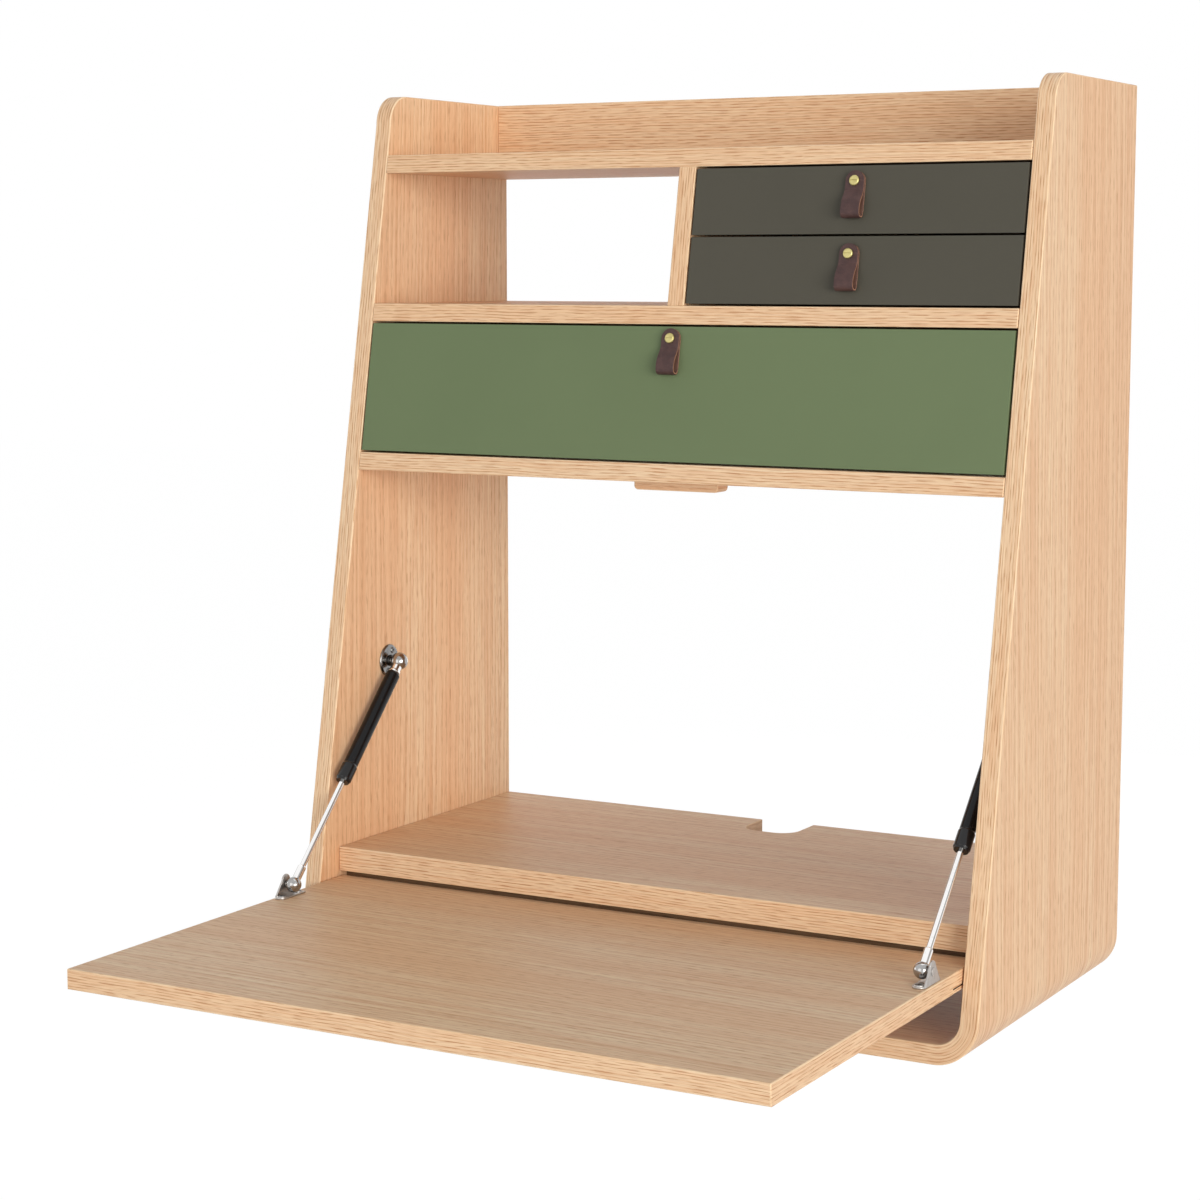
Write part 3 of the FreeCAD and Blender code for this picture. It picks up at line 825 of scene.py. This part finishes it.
def shell_path():
    """Stations down the left side, round the bottom and up the right: middle and outward."""
    middle_radius = bend_inner_radius + board / 2
    side = half_width + board / 2
    corner_x = half_width - bend_inner_radius
    corner_z = shell_low.z + board + bend_inner_radius
    top_steps = 14
    bend_steps = 20
    stations = []
    for step in range(top_steps + 1):
        drop = side_top_radius * (1 - math.cos(math.pi / 2 * step / top_steps))
        stations.append(((-side, shell_high.z - drop), (-1, 0)))
    for step in range(bend_steps + 1):
        angle = math.pi + math.pi / 2 * step / bend_steps
        out = (math.cos(angle), math.sin(angle))
        spot = (-corner_x + middle_radius * out[0], corner_z + middle_radius * out[1])
        stations.append((spot, out))
    return stations + [((-p[0], p[1]), (-n[0], n[1])) for p, n in reversed(stations)]


def rim_depth(z):
    """The front of the sides at a height, with the rounded corner at the top."""
    reach = side_top_radius * math.tan((math.pi / 2 - lean) / 2)
    centre_y = front_y(shell_high.z) + reach
    below = z - (shell_high.z - side_top_radius)
    if below < -side_top_radius * math.sin(lean):
        return front_y(z)
    return centre_y - math.sqrt(max(side_top_radius ** 2 - below ** 2, 0))


def make_shell():
    """The bent board: both broad faces, a rim along the front and over the tops, and the back."""
    stations = shell_path()
    lengths = lengths_along([place for place, _ in stations])
    rim = [Vector((s, rim_depth(place[1]))) for s, (place, _) in zip(lengths, stations)]
    rim_lengths = lengths_along(rim)
    half = board / 2
    corner_steps = 4
    section = [
        (shell_edge_radius - half - across, shell_edge_radius - depth)
        for across, depth in arc((0, 0), shell_edge_radius, 0, 90, corner_steps)
    ]
    section += [(-across, depth) for across, depth in reversed(section)]
    built = bmesh.new()
    layer = built.loops.layers.uv.new("grain")
    columns = []
    for index, (place, outward) in enumerate(stations):
        middle = Vector((place[0], 0, place[1]))
        out = Vector((outward[0], 0, outward[1]))
        upward = -1 if index < len(stations) / 2 else 1
        if index in (0, len(stations) - 1):
            inward = Vector((-upward, 0))
        else:
            tangent = (rim[index + 1] - rim[index - 1]).normalized()
            inward = Vector((-tangent.y, tangent.x))
        ring = []
        for across, depth in section:
            spot = middle + out * across
            if abs(out.z) < 0.5:
                spot.z += upward * inward.x * depth
            tilt = slope * (spot.z - middle.z) if abs(out.z) > 0.001 else 0
            spot.y = rim[index].y + inward.y * depth + tilt
            ring.append(built.verts.new(spot))
        columns.append(ring)

    def on_wall(verts):
        """New points on the wall plane behind others."""
        return [built.verts.new((vert.co.x, 0, vert.co.z)) for vert in verts]

    def add(corners, maps, finish=0):
        """A face with its grain map."""
        face = built.faces.new(corners)
        face.material_index = finish
        for loop, spot in zip(face.loops, maps):
            loop[layer].uv = spot

    backs = [on_wall((ring[0], ring[-1])) for ring in columns]
    rim_shift = next_veneer()
    face_shift = next_veneer()
    rim_v = [across + depth + rim_shift for across, depth in section]
    for index, (here, there) in enumerate(zip(columns, columns[1:])):
        start, end = rim_lengths[index], rim_lengths[index + 1]
        for step in range(len(section) - 1):
            low, high = rim_v[step], rim_v[step + 1]
            add(
                (here[step], here[step + 1], there[step + 1], there[step]),
                ((start, low), (start, high), (end, high), (end, low)),
                1 if step == corner_steps else 2,
            )
        start, end = lengths[index], lengths[index + 1]
        back, next_back = backs[index], backs[index + 1]
        for side, shift in ((0, face_shift), (-1, face_shift + outer_veneer)):
            first, second = here[side], there[side]
            near, far = first.co.y + shift, second.co.y + shift
            add(
                (first, second, next_back[side], back[side]),
                ((start, near), (end, far), (end, shift), (start, shift)),
            )
        low, high = rim_shift, rim_shift + board
        add(
            (back[0], back[1], next_back[1], next_back[0]),
            ((start, low), (start, high), (end, high), (end, low)),
        )
    for end in (0, -1):
        ring, back = columns[end], backs[end]
        chain = [back[0]] + on_wall(ring[1:-1]) + [back[1]]
        for step in range(len(section) - 1):
            four = (ring[step], ring[step + 1], chain[step + 1], chain[step])
            add(four, [(vert.co.y + lengths[-1], vert.co.x + rim_shift) for vert in four], 1)
        add(chain, [(vert.co.x, vert.co.z) for vert in chain])
    bmesh.ops.remove_doubles(built, verts=built.verts, dist=join_distance)
    bmesh.ops.recalc_face_normals(built, faces=built.faces)
    # The third finish, on the rim's rounded corners, is the paler oak of the painted highlight
    finishes = [shell_oak, edge_oak, arris_painted_highlight]
    place_piece(built, "shell_oak_u", "carcass", "oak", "shell", finishes)


def make_front(name, material, slot):
    """A painted drawer front that lies in the sloping plane."""
    node = name + "_front"
    low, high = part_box(node)
    back = front_thickness / math.cos(lean)
    outline = (
        (front_y(low.z), low.z),
        (front_y(high.z), high.z),
        (front_y(high.z) + back, high.z),
        (front_y(low.z) + back, low.z),
    )
    built = prism(outline, over_x, low.x, high.x, front_edge_radius)
    place_piece(built, node + "_paint", name, slot, node, [material])


def smooth_line(points, rounds):
    """Cut the corners of a line of points a few times."""
    for _ in range(rounds):
        cut = [points[0]]
        for before, after in zip(points, points[1:]):
            cut += [before.lerp(after, 0.25), before.lerp(after, 0.75)]
        points = cut + [points[-1]]
    return points


def strap_line():
    """The strap's middle line, out from the front and up it: back layer, loop and front layer."""
    back = strap_thickness / 2
    front = back + strap_thickness
    loop = strap_loop_depth - back
    down = -strap_below_stud
    line = (
        (back, strap_above_stud),
        (back, 0.0),
        (back, down * 0.60),
        (back, down + back),
        (loop, down + back),
        (loop, down * 0.62),
        (front + strap_slack, down * 0.30),
        (front, down * 0.16),
        (front, 0.0),
        (front, strap_above_stud),
    )
    return smooth_line([Vector(point) for point in line], 3)


def make_pull(name):
    """The folded leather strap, both ends rounded over the stud."""
    low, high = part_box(name + "_pull_stud")
    head = (low + high) / 2
    proud = (head - Vector((head.x, front_y(head.z), head.z))).dot(out_of_front)
    foot = head - out_of_front * proud
    line = strap_line()
    lengths = lengths_along(line)
    total = lengths[-1]
    end_radius = strap_width / 2
    corner = strap_edge_radius
    half = strap_thickness / 2
    end_steps = 9
    end_start = 0.35
    ends = []
    for step in range(end_steps):
        angle = math.pi / 2 * (step + end_start) / (end_steps + end_start)
        ends.append(end_radius * (1 - math.cos(angle)))
    inner = [length for length in lengths if end_radius < length < total - end_radius]
    stations = ends + inner + [total - length for length in reversed(ends)]

    def on_line(length):
        """The line's place and way at a length."""
        index = next(i for i in range(len(lengths) - 1) if lengths[i + 1] >= length)
        share = (length - lengths[index]) / (lengths[index + 1] - lengths[index])
        before = line[max(index - 1, 0)]
        after = line[min(index + 2, len(line) - 1)]
        return line[index].lerp(line[index + 1], share), (after - before).normalized()

    built = bmesh.new()
    layer = built.loops.layers.uv.new("grain")
    rings = []
    for length in stations:
        spot, way = on_line(length)
        side = Vector((-way.y, way.x))
        from_end = min(length, total - length, end_radius)
        reach = math.sqrt(end_radius ** 2 - (end_radius - from_end) ** 2)
        corners = []
        for sign_x, sign_n, start in ((1, -1, -90), (1, 1, 0), (-1, 1, 90), (-1, -1, 180)):
            centre = (sign_x * max(reach - corner, reach * 0.3), sign_n * (half - corner))
            corners += arc(centre, corner, start, start + 90, 3)
        ring = []
        for across, through in corners:
            flat = spot + side * through
            place = foot + out_of_front * flat.x + up_front * flat.y + axis_x * across
            ring.append((built.verts.new(place), across, length, through))
        rings.append(ring)
    count = len(rings[0])
    for here, there in zip(rings, rings[1:]):
        for index in range(count):
            after = (index + 1) % count
            four = (here[index], here[after], there[after], there[index])
            face = built.faces.new([item[0] for item in four])
            if abs(here[index][3] - here[after][3]) > strap_edge_radius:
                face.material_index = 1
            elif min(here[index][3], here[after][3]) > half - corner / 2:
                face.material_index = 2
            for loop, item in zip(face.loops, four):
                loop[layer].uv = (item[2], item[1] + item[3])
    for ring in (rings[0], rings[-1]):
        built.faces.new([item[0] for item in ring]).material_index = 1
    bmesh.ops.recalc_face_normals(built, faces=built.faces)
    node = name + "_pull_strap"
    finishes = [strap_leather, strap_edge, strap_flesh]
    place_piece(built, node + "_leather", name, "leather", node, finishes)


def softened_profile(profile, radius):
    """Round the corners of a turning profile, apart from its ends."""
    points = [Vector(point) for point in profile]
    soft = [points[0]]
    for before, here, after in zip(points, points[1:], points[2:]):
        shorter = min((here - before).length, (after - here).length)
        cut = min(radius, shorter * 0.45)
        start = here + (before - here).normalized() * cut
        end = here + (after - here).normalized() * cut
        for step in range(5):
            share = step / 4
            soft.append(start.lerp(here, share).lerp(here.lerp(end, share), share))
    soft.append(points[-1])
    return soft


def turn(built, profile, origin, axis, side=axis_x, rounds=56, finish=0):
    """Turn a profile (along the axis, out from it) and lay the map round and along it."""
    layer = built.loops.layers.uv.get("grain") or built.loops.layers.uv.new("grain")
    beside = axis.cross(side)
    rings = []
    for (along, reach), length in zip(profile, lengths_along(profile)):
        middle = origin + axis * along
        spots = [middle]
        if reach > 1e-7:
            angles = [2 * math.pi * step / rounds for step in range(rounds)]
            spots = [
                middle + (side * math.cos(angle) + beside * math.sin(angle)) * reach
                for angle in angles
            ]
        rings.append(([built.verts.new(spot) for spot in spots], length))
    made = []
    for (here, low), (there, high) in zip(rings, rings[1:]):
        for step in range(rounds):
            after = (step + 1) % rounds
            start, end = step / rounds, (step + 1) / rounds
            if len(here) == 1:
                corners = (here[0], there[after], there[step])
                maps = ((start, low), (end, high), (start, high))
            elif len(there) == 1:
                corners = (here[step], here[after], there[0])
                maps = ((start, low), (end, low), (start, high))
            else:
                corners = (here[step], here[after], there[after], there[step])
                maps = ((start, low), (end, low), (end, high), (start, high))
            face = built.faces.new(corners)
            face.material_index = finish
            made.append(face)
            for loop, spot in zip(face.loops, maps):
                loop[layer].uv = spot
    bmesh.ops.recalc_face_normals(built, faces=made)


def turn_soft(built, profile, edge, *place, **details):
    """Turn a profile with its corners rounded."""
    turn(built, softened_profile(profile, edge), *place, **details)


def make_stud(name):
    """The brass stud's head: a flat face with a rounded rim and a driver's slot."""
    node = name + "_pull_stud"
    low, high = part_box(node)
    middle = (low + high) / 2
    radius = (high.x - low.x) / 2
    height = stud_height
    seat = middle - out_of_front * height / 2
    built = bmesh.new()
    turn_soft(built, (
        (0, 0), (0, radius), (height * 0.62, radius), (height, radius * 0.80), (height * 0.96, 0)
    ), metal_edge, seat, out_of_front, rounds=48)
    stud = place_piece(built, node + "_brass", name, "brass", node, [brass])
    cut_slot(stud, middle + out_of_front * height / 2, radius * 1.25)


def cut_slot(piece, top, length):
    """Cut a driver's slot across a stud's head, for good."""
    built = bmesh.new()
    bmesh.ops.create_cube(built, size=1.0)
    size = Vector((length, stud_slot_width, 2 * stud_slot_depth))
    bmesh.ops.scale(built, vec=size, verts=built.verts)
    turned_to = Matrix((axis_x, up_front, out_of_front)).transposed().to_4x4()
    bmesh.ops.transform(built, matrix=Matrix.Translation(top) @ turned_to, verts=built.verts)
    cutter = add_object("slot_cutter", mesh_of(built, "slot_cutter"))
    modifier = piece.modifiers.new("cut", "BOOLEAN")
    modifier.operation = "DIFFERENCE"
    modifier.solver = "EXACT"
    modifier.object = cutter
    mesh = evaluated_mesh(piece, piece.name)
    piece.modifiers.remove(modifier)
    piece.data = mesh
    bpy.data.objects.remove(cutter)


def strut_places(side):
    """Lower and upper ball of a strut and the way between them."""
    lower = Vector(joints["rod_pivot_" + side]["pos_m"])
    way = Vector(joints["tube_slide_" + side]["axis"]).normalized()
    low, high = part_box("strut_socket_" + side)
    radius = (high.x - low.x) / 2
    upper = Vector(((low.x + high.x) / 2, high.y - radius, high.z - radius))
    return lower, upper, way


def ball_radius(node):
    """Half the width of a strut's end."""
    low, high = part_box(node)
    return (high.x - low.x) / 2


def add_ball(built, middle, inward, way, radius):
    """A ball joint's housing: round towards the room, with a flat ringed end towards its stud."""
    profile = [Vector(point) for point in arc((0, 0), radius, 0, 140, 16)]
    profile[0].y = 0
    flat = softened_profile(
        (profile[-1], (-radius * 0.86, radius * 0.52), (-radius * 0.98, radius * 0.52),
         (-radius * 0.98, 0)),
        ball_edge,
    )
    turn(built, profile + flat[1:], middle, inward, way)


def make_strut(side, sign):
    """One gas strut: collar and ball, rod, gland with its lip, tube, neck and ball."""
    lower, upper, way = strut_places(side)
    inward = axis_x * -sign
    length = (upper - lower).length
    tube_high = length - tube_start_from_ball
    gland_low = length - tube_end_from_ball
    tube_low = gland_low + gland_length

    def add_turned(built, profile, edge, finish=0):
        turn_soft(built, profile, edge, lower, way, finish=finish)

    def place(built, part, body, look, slot, finishes):
        node = f"strut_{part}_{side}"
        place_piece(built, f"{node}_{look}", f"{body}_{side}", slot, node, finishes)

    built = bmesh.new()
    ball = ball_radius("strut_socket_" + side)
    add_ball(built, upper, inward, way, ball)
    neck = ball * 0.60
    ring = neck * 1.16
    ring_high = tube_high + neck_ring_length
    neck_high = length - ball * 0.6
    add_turned(built, (
        (tube_high, 0), (tube_high, ring), (ring_high, ring), (ring_high + neck_ring_slope, neck),
        (neck_high, neck), (neck_high, 0),
    ), metal_edge, 1)
    place(built, "socket", "tube", "chrome", "chrome", [ball_chrome, rod_chrome])

    built = bmesh.new()
    bore = tube_radius - tube_wall
    add_turned(built, (
        (tube_high - tube_end_thickness, 0),
        (tube_high - tube_end_thickness, bore),
        (tube_low, bore),
        (tube_low, tube_radius),
        (tube_high - tube_shoulder_length, tube_radius),
        (tube_high, tube_radius - tube_shoulder_step),
        (tube_high, 0),
    ), tube_edge)
    place(built, "tube", "tube", "black", "black_tube", [black_lacquer])

    built = bmesh.new()
    bore = rod_radius + rod_clearance
    add_turned(built, (
        (gland_low, bore),
        (gland_low, gland_radius * 0.86),
        (gland_low + gland_lip * 0.8, gland_radius * 0.92),
        (gland_low + gland_lip, gland_radius),
        (tube_low - gland_lip, gland_radius),
        (tube_low - gland_lip * 0.55, gland_radius * 0.90),
        (tube_low, gland_radius * 0.90),
        (tube_low, bore),
        (gland_low, bore),
    ), gland_edge)
    bmesh.ops.remove_doubles(built, verts=built.verts, dist=join_distance)
    place(built, "gland", "tube", "black", "black_gland", [black_plastic])

    built = bmesh.new()
    rod_end = tube_low + rod_in_tube
    add_turned(built, (
        (rod_start, 0), (rod_start, rod_radius), (rod_end, rod_radius), (rod_end, 0)
    ), metal_edge)
    place(built, "rod", "rod", "chrome", "chrome", [rod_chrome])

    built = bmesh.new()
    ball = ball_radius("strut_rod_end_" + side)
    add_ball(built, lower, inward, way, ball)
    add_turned(built, (
        (ball * 0.7, 0),
        (ball * 0.7, collar_radius),
        (collar_end - collar_chamfer, collar_radius),
        (collar_end, collar_radius * 0.80),
        (collar_end, 0),
    ), gland_edge, 1)
    place(built, "rod_end", "rod", "chrome", "chrome", [ball_chrome, rod_chrome])


def make_plates():
    """The round plates that the struts hang from, with boss and stud, and their screws' places."""
    both = bmesh.new()
    screws = []
    low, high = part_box("strut_plates")
    radius = (high.z - low.z) / 2
    for side, sign in sides:
        upper = strut_places(side)[1]
        seat = Vector((sign * half_width, upper.y, upper.z))
        inward = axis_x * -sign
        gap = min(abs(seat.x - corner.x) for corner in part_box("strut_socket_" + side))
        turn_soft(both, (
            (0, 0), (0, radius), (plate_thickness * 0.55, radius),
            (plate_thickness, radius * 0.90), (plate_thickness, 0),
        ), metal_edge, seat, inward, axis_z, 64)
        boss_top = plate_thickness + boss_height
        turn_soft(both, (
            (plate_thickness / 2, 0),
            (plate_thickness / 2, boss_radius),
            (boss_top, boss_radius),
            (boss_top + boss_slope, plate_stud_radius * 1.2),
            (gap - plate_stud_gap, plate_stud_radius),
            (gap - plate_stud_gap, 0),
        ), metal_edge, seat, inward, axis_z, 48, 1)
        for way in (-1, 1):
            offset = Vector((0, 0.35 * way, 0.94 * way)).normalized() * radius * 0.66
            screws.append((seat + inward * plate_thickness + offset, inward))
    finishes = [plate_steel, hub_steel]
    place_piece(both, "strut_plates_chrome", "carcass", "chrome", "strut_plates", finishes)
    return screws


def make_brackets():
    """Both angle brackets as one piece, and where their screws sit."""
    both = bmesh.new()
    screws = []
    low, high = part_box("flap_brackets")
    flap_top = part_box("flap_panel")[1].z
    sheet_top = flap_top + bracket_sheet
    nose, tail, outer = low.y, high.y, high.x
    inner = outer - bracket_width
    for side, sign in sides:
        lower, _, way = strut_places(side)
        radius = bracket_nose_radius
        outline = [(outer, tail), (inner, tail)]
        outline += arc((inner + radius, nose + radius), radius, 180, 270, 8)
        outline += arc((outer - radius, nose + radius), radius, 270, 360, 8)
        outline = [(sign * a, b) for a, b in outline]
        merge_into(both, prism(outline, over_z, flap_top, sheet_top, metal_edge))

        foot = flap_top + bracket_sheet * 0.4
        ear = [(tail, foot), (tail - ear_foot_length, foot)]
        ear += arc((lower.y, high.z - ear_radius), ear_radius, 172, 8, 10)
        ear_inner = outer - bracket_sheet
        merge_into(both, prism(ear, over_x, sign * ear_inner, sign * outer, metal_edge))

        reach = outer - abs(lower.x)
        turn_soft(both, (
            (-pin_in_ball, 0),
            (-pin_in_ball, pin_radius),
            (reach - bracket_sheet, pin_radius),
            (reach - bracket_sheet, rivet_radius),
            (reach + rivet_proud, rivet_radius),
            (reach + rivet_proud, 0),
        ), ball_edge, lower, axis_x * sign, way, 40)

        middle_x = sign * (outer - bracket_screw_from_edge)
        for screw_y in (nose + bracket_screw_from_edge, tail - bracket_screw_from_tail):
            seat = Vector((middle_x, screw_y, sheet_top))
            bottom, top = -bracket_sheet / 2, screw_head_height * 0.75
            hole, rim, foot_rim = [screw_head_radius * share for share in (1.12, 1.42, 1.62)]
            built = bmesh.new()
            turn_soft(built, (
                (bottom, hole), (top, hole), (top, rim), (bottom, foot_rim), (bottom, hole)
            ), washer_edge, seat, axis_z, rounds=40)
            bmesh.ops.remove_doubles(built, verts=built.verts, dist=join_distance)
            merge_into(both, built)
            screws.append((seat, axis_z))
    place_piece(both, "flap_brackets_chrome", "flap", "chrome", "flap_brackets", [plated_sheet])
    return screws


def screw_tree(inputs):
    """Geometry nodes: a cross-slotted screw head on every point, turned to the point's facing.
    Gives the tree and the identifiers of its named inputs."""
    tree = bpy.data.node_groups.new("screw_heads", "GeometryNodeTree")
    new_socket = tree.interface.new_socket
    new_socket("Geometry", in_out="INPUT", socket_type="NodeSocketGeometry")
    identifiers = {}
    for name, value in inputs.items():
        kind = "NodeSocketFloat" if isinstance(value, float) else "NodeSocketMaterial"
        identifiers[name] = new_socket(name, in_out="INPUT", socket_type=kind).identifier
    new_socket("Geometry", in_out="OUTPUT", socket_type="NodeSocketGeometry")
    start = tree.nodes.new("NodeGroupInput")
    end = tree.nodes.new("NodeGroupOutput")
    places, radius, height, slot, metal = [Wire(tree, start.outputs[i]) for i in range(5)]
    make = places.make
    head = make("GeometryNodeMeshCone", None, {
        "Vertices": 28, "Side Segments": 3, "Fill Segments": 2,
        "Radius Top": radius * 0.72, "Radius Bottom": radius, "Depth": height,
    })
    bars = []
    for size in (vector(radius * 1.15, slot, height), vector(slot, radius * 1.15, height)):
        bar = make("GeometryNodeMeshCube", None, {"Size": size})
        lift = {"Geometry": bar, "Translation": vector(0.0, 0.0, height)}
        bars.append(make("GeometryNodeTransform", None, lift))
    cutters = make("GeometryNodeJoinGeometry", None, {0: bars})
    meshes = {"Mesh 1": head, "Mesh 2": cutters}
    cross = make("GeometryNodeMeshBoolean", {"operation": "DIFFERENCE"}, meshes)
    settings = {"data_type": "FLOAT_VECTOR"}
    facing = make("GeometryNodeInputNamedAttribute", settings, {"Name": "facing"}, "Attribute")
    settings = {"axis": "Z"}
    turned_to = make("FunctionNodeAlignRotationToVector", settings, {"Vector": facing}, "Rotation")
    points = make("GeometryNodeMeshToPoints", None, {"Mesh": places})
    spread = {"Points": points, "Instance": cross, "Rotation": turned_to}
    heads = make("GeometryNodeInstanceOnPoints", None, spread)
    real = make("GeometryNodeRealizeInstances", None, {"Geometry": heads})
    coat = make("GeometryNodeSetMaterial", None, {"Geometry": real, "Material": metal})
    tree.links.new(coat.socket, end.inputs[0])
    return tree, identifiers


def make_screws(name, body, places):
    """The screw heads of one body as a plain mesh."""
    mesh = bpy.data.meshes.new(name + "_places")
    mesh.from_pydata([place for place, _ in places], [], [])
    facing = mesh.attributes.new("facing", "FLOAT_VECTOR", "POINT")
    for index, (_, way) in enumerate(places):
        facing.data[index].vector = way
    holder = add_object(name + "_places", mesh)
    modifier = holder.modifiers.new("screw_heads", "NODES")
    modifier.node_group = heads_tree
    for socket, value in screw_inputs.items():
        modifier[heads_sockets[socket]] = value
    heads = evaluated_mesh(holder, name)
    holder.modifiers.remove(modifier)
    bpy.data.objects.remove(holder)
    bpy.data.meshes.remove(mesh)
    piece = add_object(name, heads)
    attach(piece, body)


def paint_nodes(nodes, material):
    """Give carried-over nodes of the frame their finish."""
    for node in nodes:
        slots = frame["nodes"][node].data.materials
        slots.clear()
        slots.append(material)


# Carcass
make_shell()
for shelf_node in ("top_shelf", "mid_shelf", "low_shelf"):
    make_board(shelf_node, axis_x, seam)
make_board("divider", axis_z, 0.0)
make_top_rail()
make_inner_shelf()
make_under_block()
paint_nodes(["hanging_rail"], rail_wood)
# The rail seen through the gap under the inner shelf is coloured near black, as painted shade
paint_nodes(["shelf_rail"], rail_painted_shade)
paint_nodes(["bay_back"], ply_back)
paint_nodes([name + "_runners" for name in drawers], runner_wood)

# Flap
make_flap()
paint_nodes(["hinge_pins"], pin_steel)

# Drawers
for name in drawers:
    wide = name == "wide_drawer"
    slot_name = "front_green" if wide else "front_dark"
    make_front(name, green_front if wide else dark_front, slot_name)
    make_pull(name)
    make_stud(name)
    paint_nodes([name + "_side_left", name + "_side_right"], ply_sides)
    paint_nodes([name + "_back"], ply_back)
    paint_nodes([name + "_bottom"], ply_bottom)

# Struts, plates and brackets with their screws
for strut_side, strut_sign in sides:
    make_strut(strut_side, strut_sign)
screw_inputs = {
    "Head Radius": screw_head_radius,
    "Head Height": screw_head_height,
    "Slot Width": screw_head_radius * 0.30,
    "Metal": screw_steel,
}
heads_tree, heads_sockets = screw_tree(screw_inputs)
make_screws("plate_screws", "carcass", make_plates())
make_screws("bracket_screws", "flap", make_brackets())


def seen_directly(wire):
    """One for what the camera, a reflection or a clear piece shows, none for light on the desk."""
    rays = ("Is Camera Ray", "Is Glossy Ray", "Is Transmission Ray")
    camera, glossy, clear = [wire.make("ShaderNodeLightPath", None, None, ray) for ray in rays]
    return wire.sum("MAXIMUM", camera, wire.sum("MAXIMUM", glossy, clear))


def matt_white(tree):
    """The floor's own finish, under the white that is seen."""
    return {"Base Color": (0.62, 0.62, 0.63, 1), "Roughness": 0.9}


def make_floor():
    """A wide pale floor that keeps the desk's shadow and reads as white."""
    built = bmesh.new()
    bmesh.ops.create_grid(built, x_segments=1, y_segments=1, size=floor_reach)
    floor = add_object("floor", mesh_of(built, "floor"))
    floor.location = (0, 0, shell_low.z - floor_below_desk)
    material = finish_of("floor_white", matt_white)
    tree = material.node_tree
    wire = Wire(tree)
    shaded = Wire(tree, tree.nodes["Principled BSDF"].outputs[0])
    glow = wire.make("ShaderNodeEmission", None, {"Strength": 1.06})
    inputs = {0: seen_directly(wire) * 0.92, 1: shaded, 2: glow}
    mixed = wire.make("ShaderNodeMixShader", None, inputs)
    tree.links.new(mixed.socket, tree.nodes["Material Output"].inputs[0])
    floor.data.materials.append(material)


def make_world():
    """Even studio light, white where it is seen."""
    world = bpy.data.worlds.new("studio")
    world.use_nodes = True
    tree = world.node_tree
    wire = Wire(tree)
    soft = wire.make("ShaderNodeBackground", None, {0: (0.985, 1.0, 1.025, 1), 1: 0.36})
    white = wire.make("ShaderNodeBackground", None, {0: (1, 1, 1, 1), 1: 1.0})
    mixed = wire.make("ShaderNodeMixShader", None, {0: seen_directly(wire), 1: soft, 2: white})
    tree.links.new(mixed.socket, tree.nodes["World Output"].inputs[0])
    bpy.context.scene.world = world


def make_light(name, place, aim, size, power, colour):
    """A square soft light."""
    data = bpy.data.lights.new(name, "AREA")
    data.shape = "SQUARE"
    data.size = size
    data.energy = power
    data.color = colour
    light = add_object(name, data)
    light.location = place
    light.rotation_euler = (Vector(aim) - Vector(place)).to_track_quat("-Z", "Y").to_euler()


def make_camera():
    """The photograph's view."""
    data = bpy.data.cameras.new("photo_view")
    data.sensor_width = sensor_width
    data.lens = sensor_width * camera_focal_share
    camera = add_object("photo_view", data)
    camera.location = camera_place
    camera.rotation_euler = (math.pi / 2 - camera_pitch, 0, camera_yaw)
    bpy.context.scene.camera = camera


# Studio: a warm key from the right, and weaker lights that fill the shade
make_floor()
make_world()
desk_middle = (0, -0.3, -0.2)
make_light("key_right", (6.90, -5.10, -0.10), desk_middle, 5.2, 700, (1.0, 0.968, 0.912))
make_light("soft_top", (0.2, 0.35, 2.7), (0.0, -0.35, -0.3), 1.8, 12, (1.0, 0.995, 0.985))
make_light("fill_front", (-0.4, -3.9, 0.2), desk_middle, 2.6, 24, (1.0, 0.990, 0.975))
make_light("fill_left", (-4.6, -0.1, -0.35), (0, -0.2, -0.35), 2.0, 34, (1.0, 0.985, 0.960))
make_light("fill_back", (-0.6, 4.8, -0.35), (0, 0, -0.35), 2.0, 30, (1.0, 0.985, 0.960))
make_camera()
bpy.context.scene.view_settings.view_transform = "Standard"
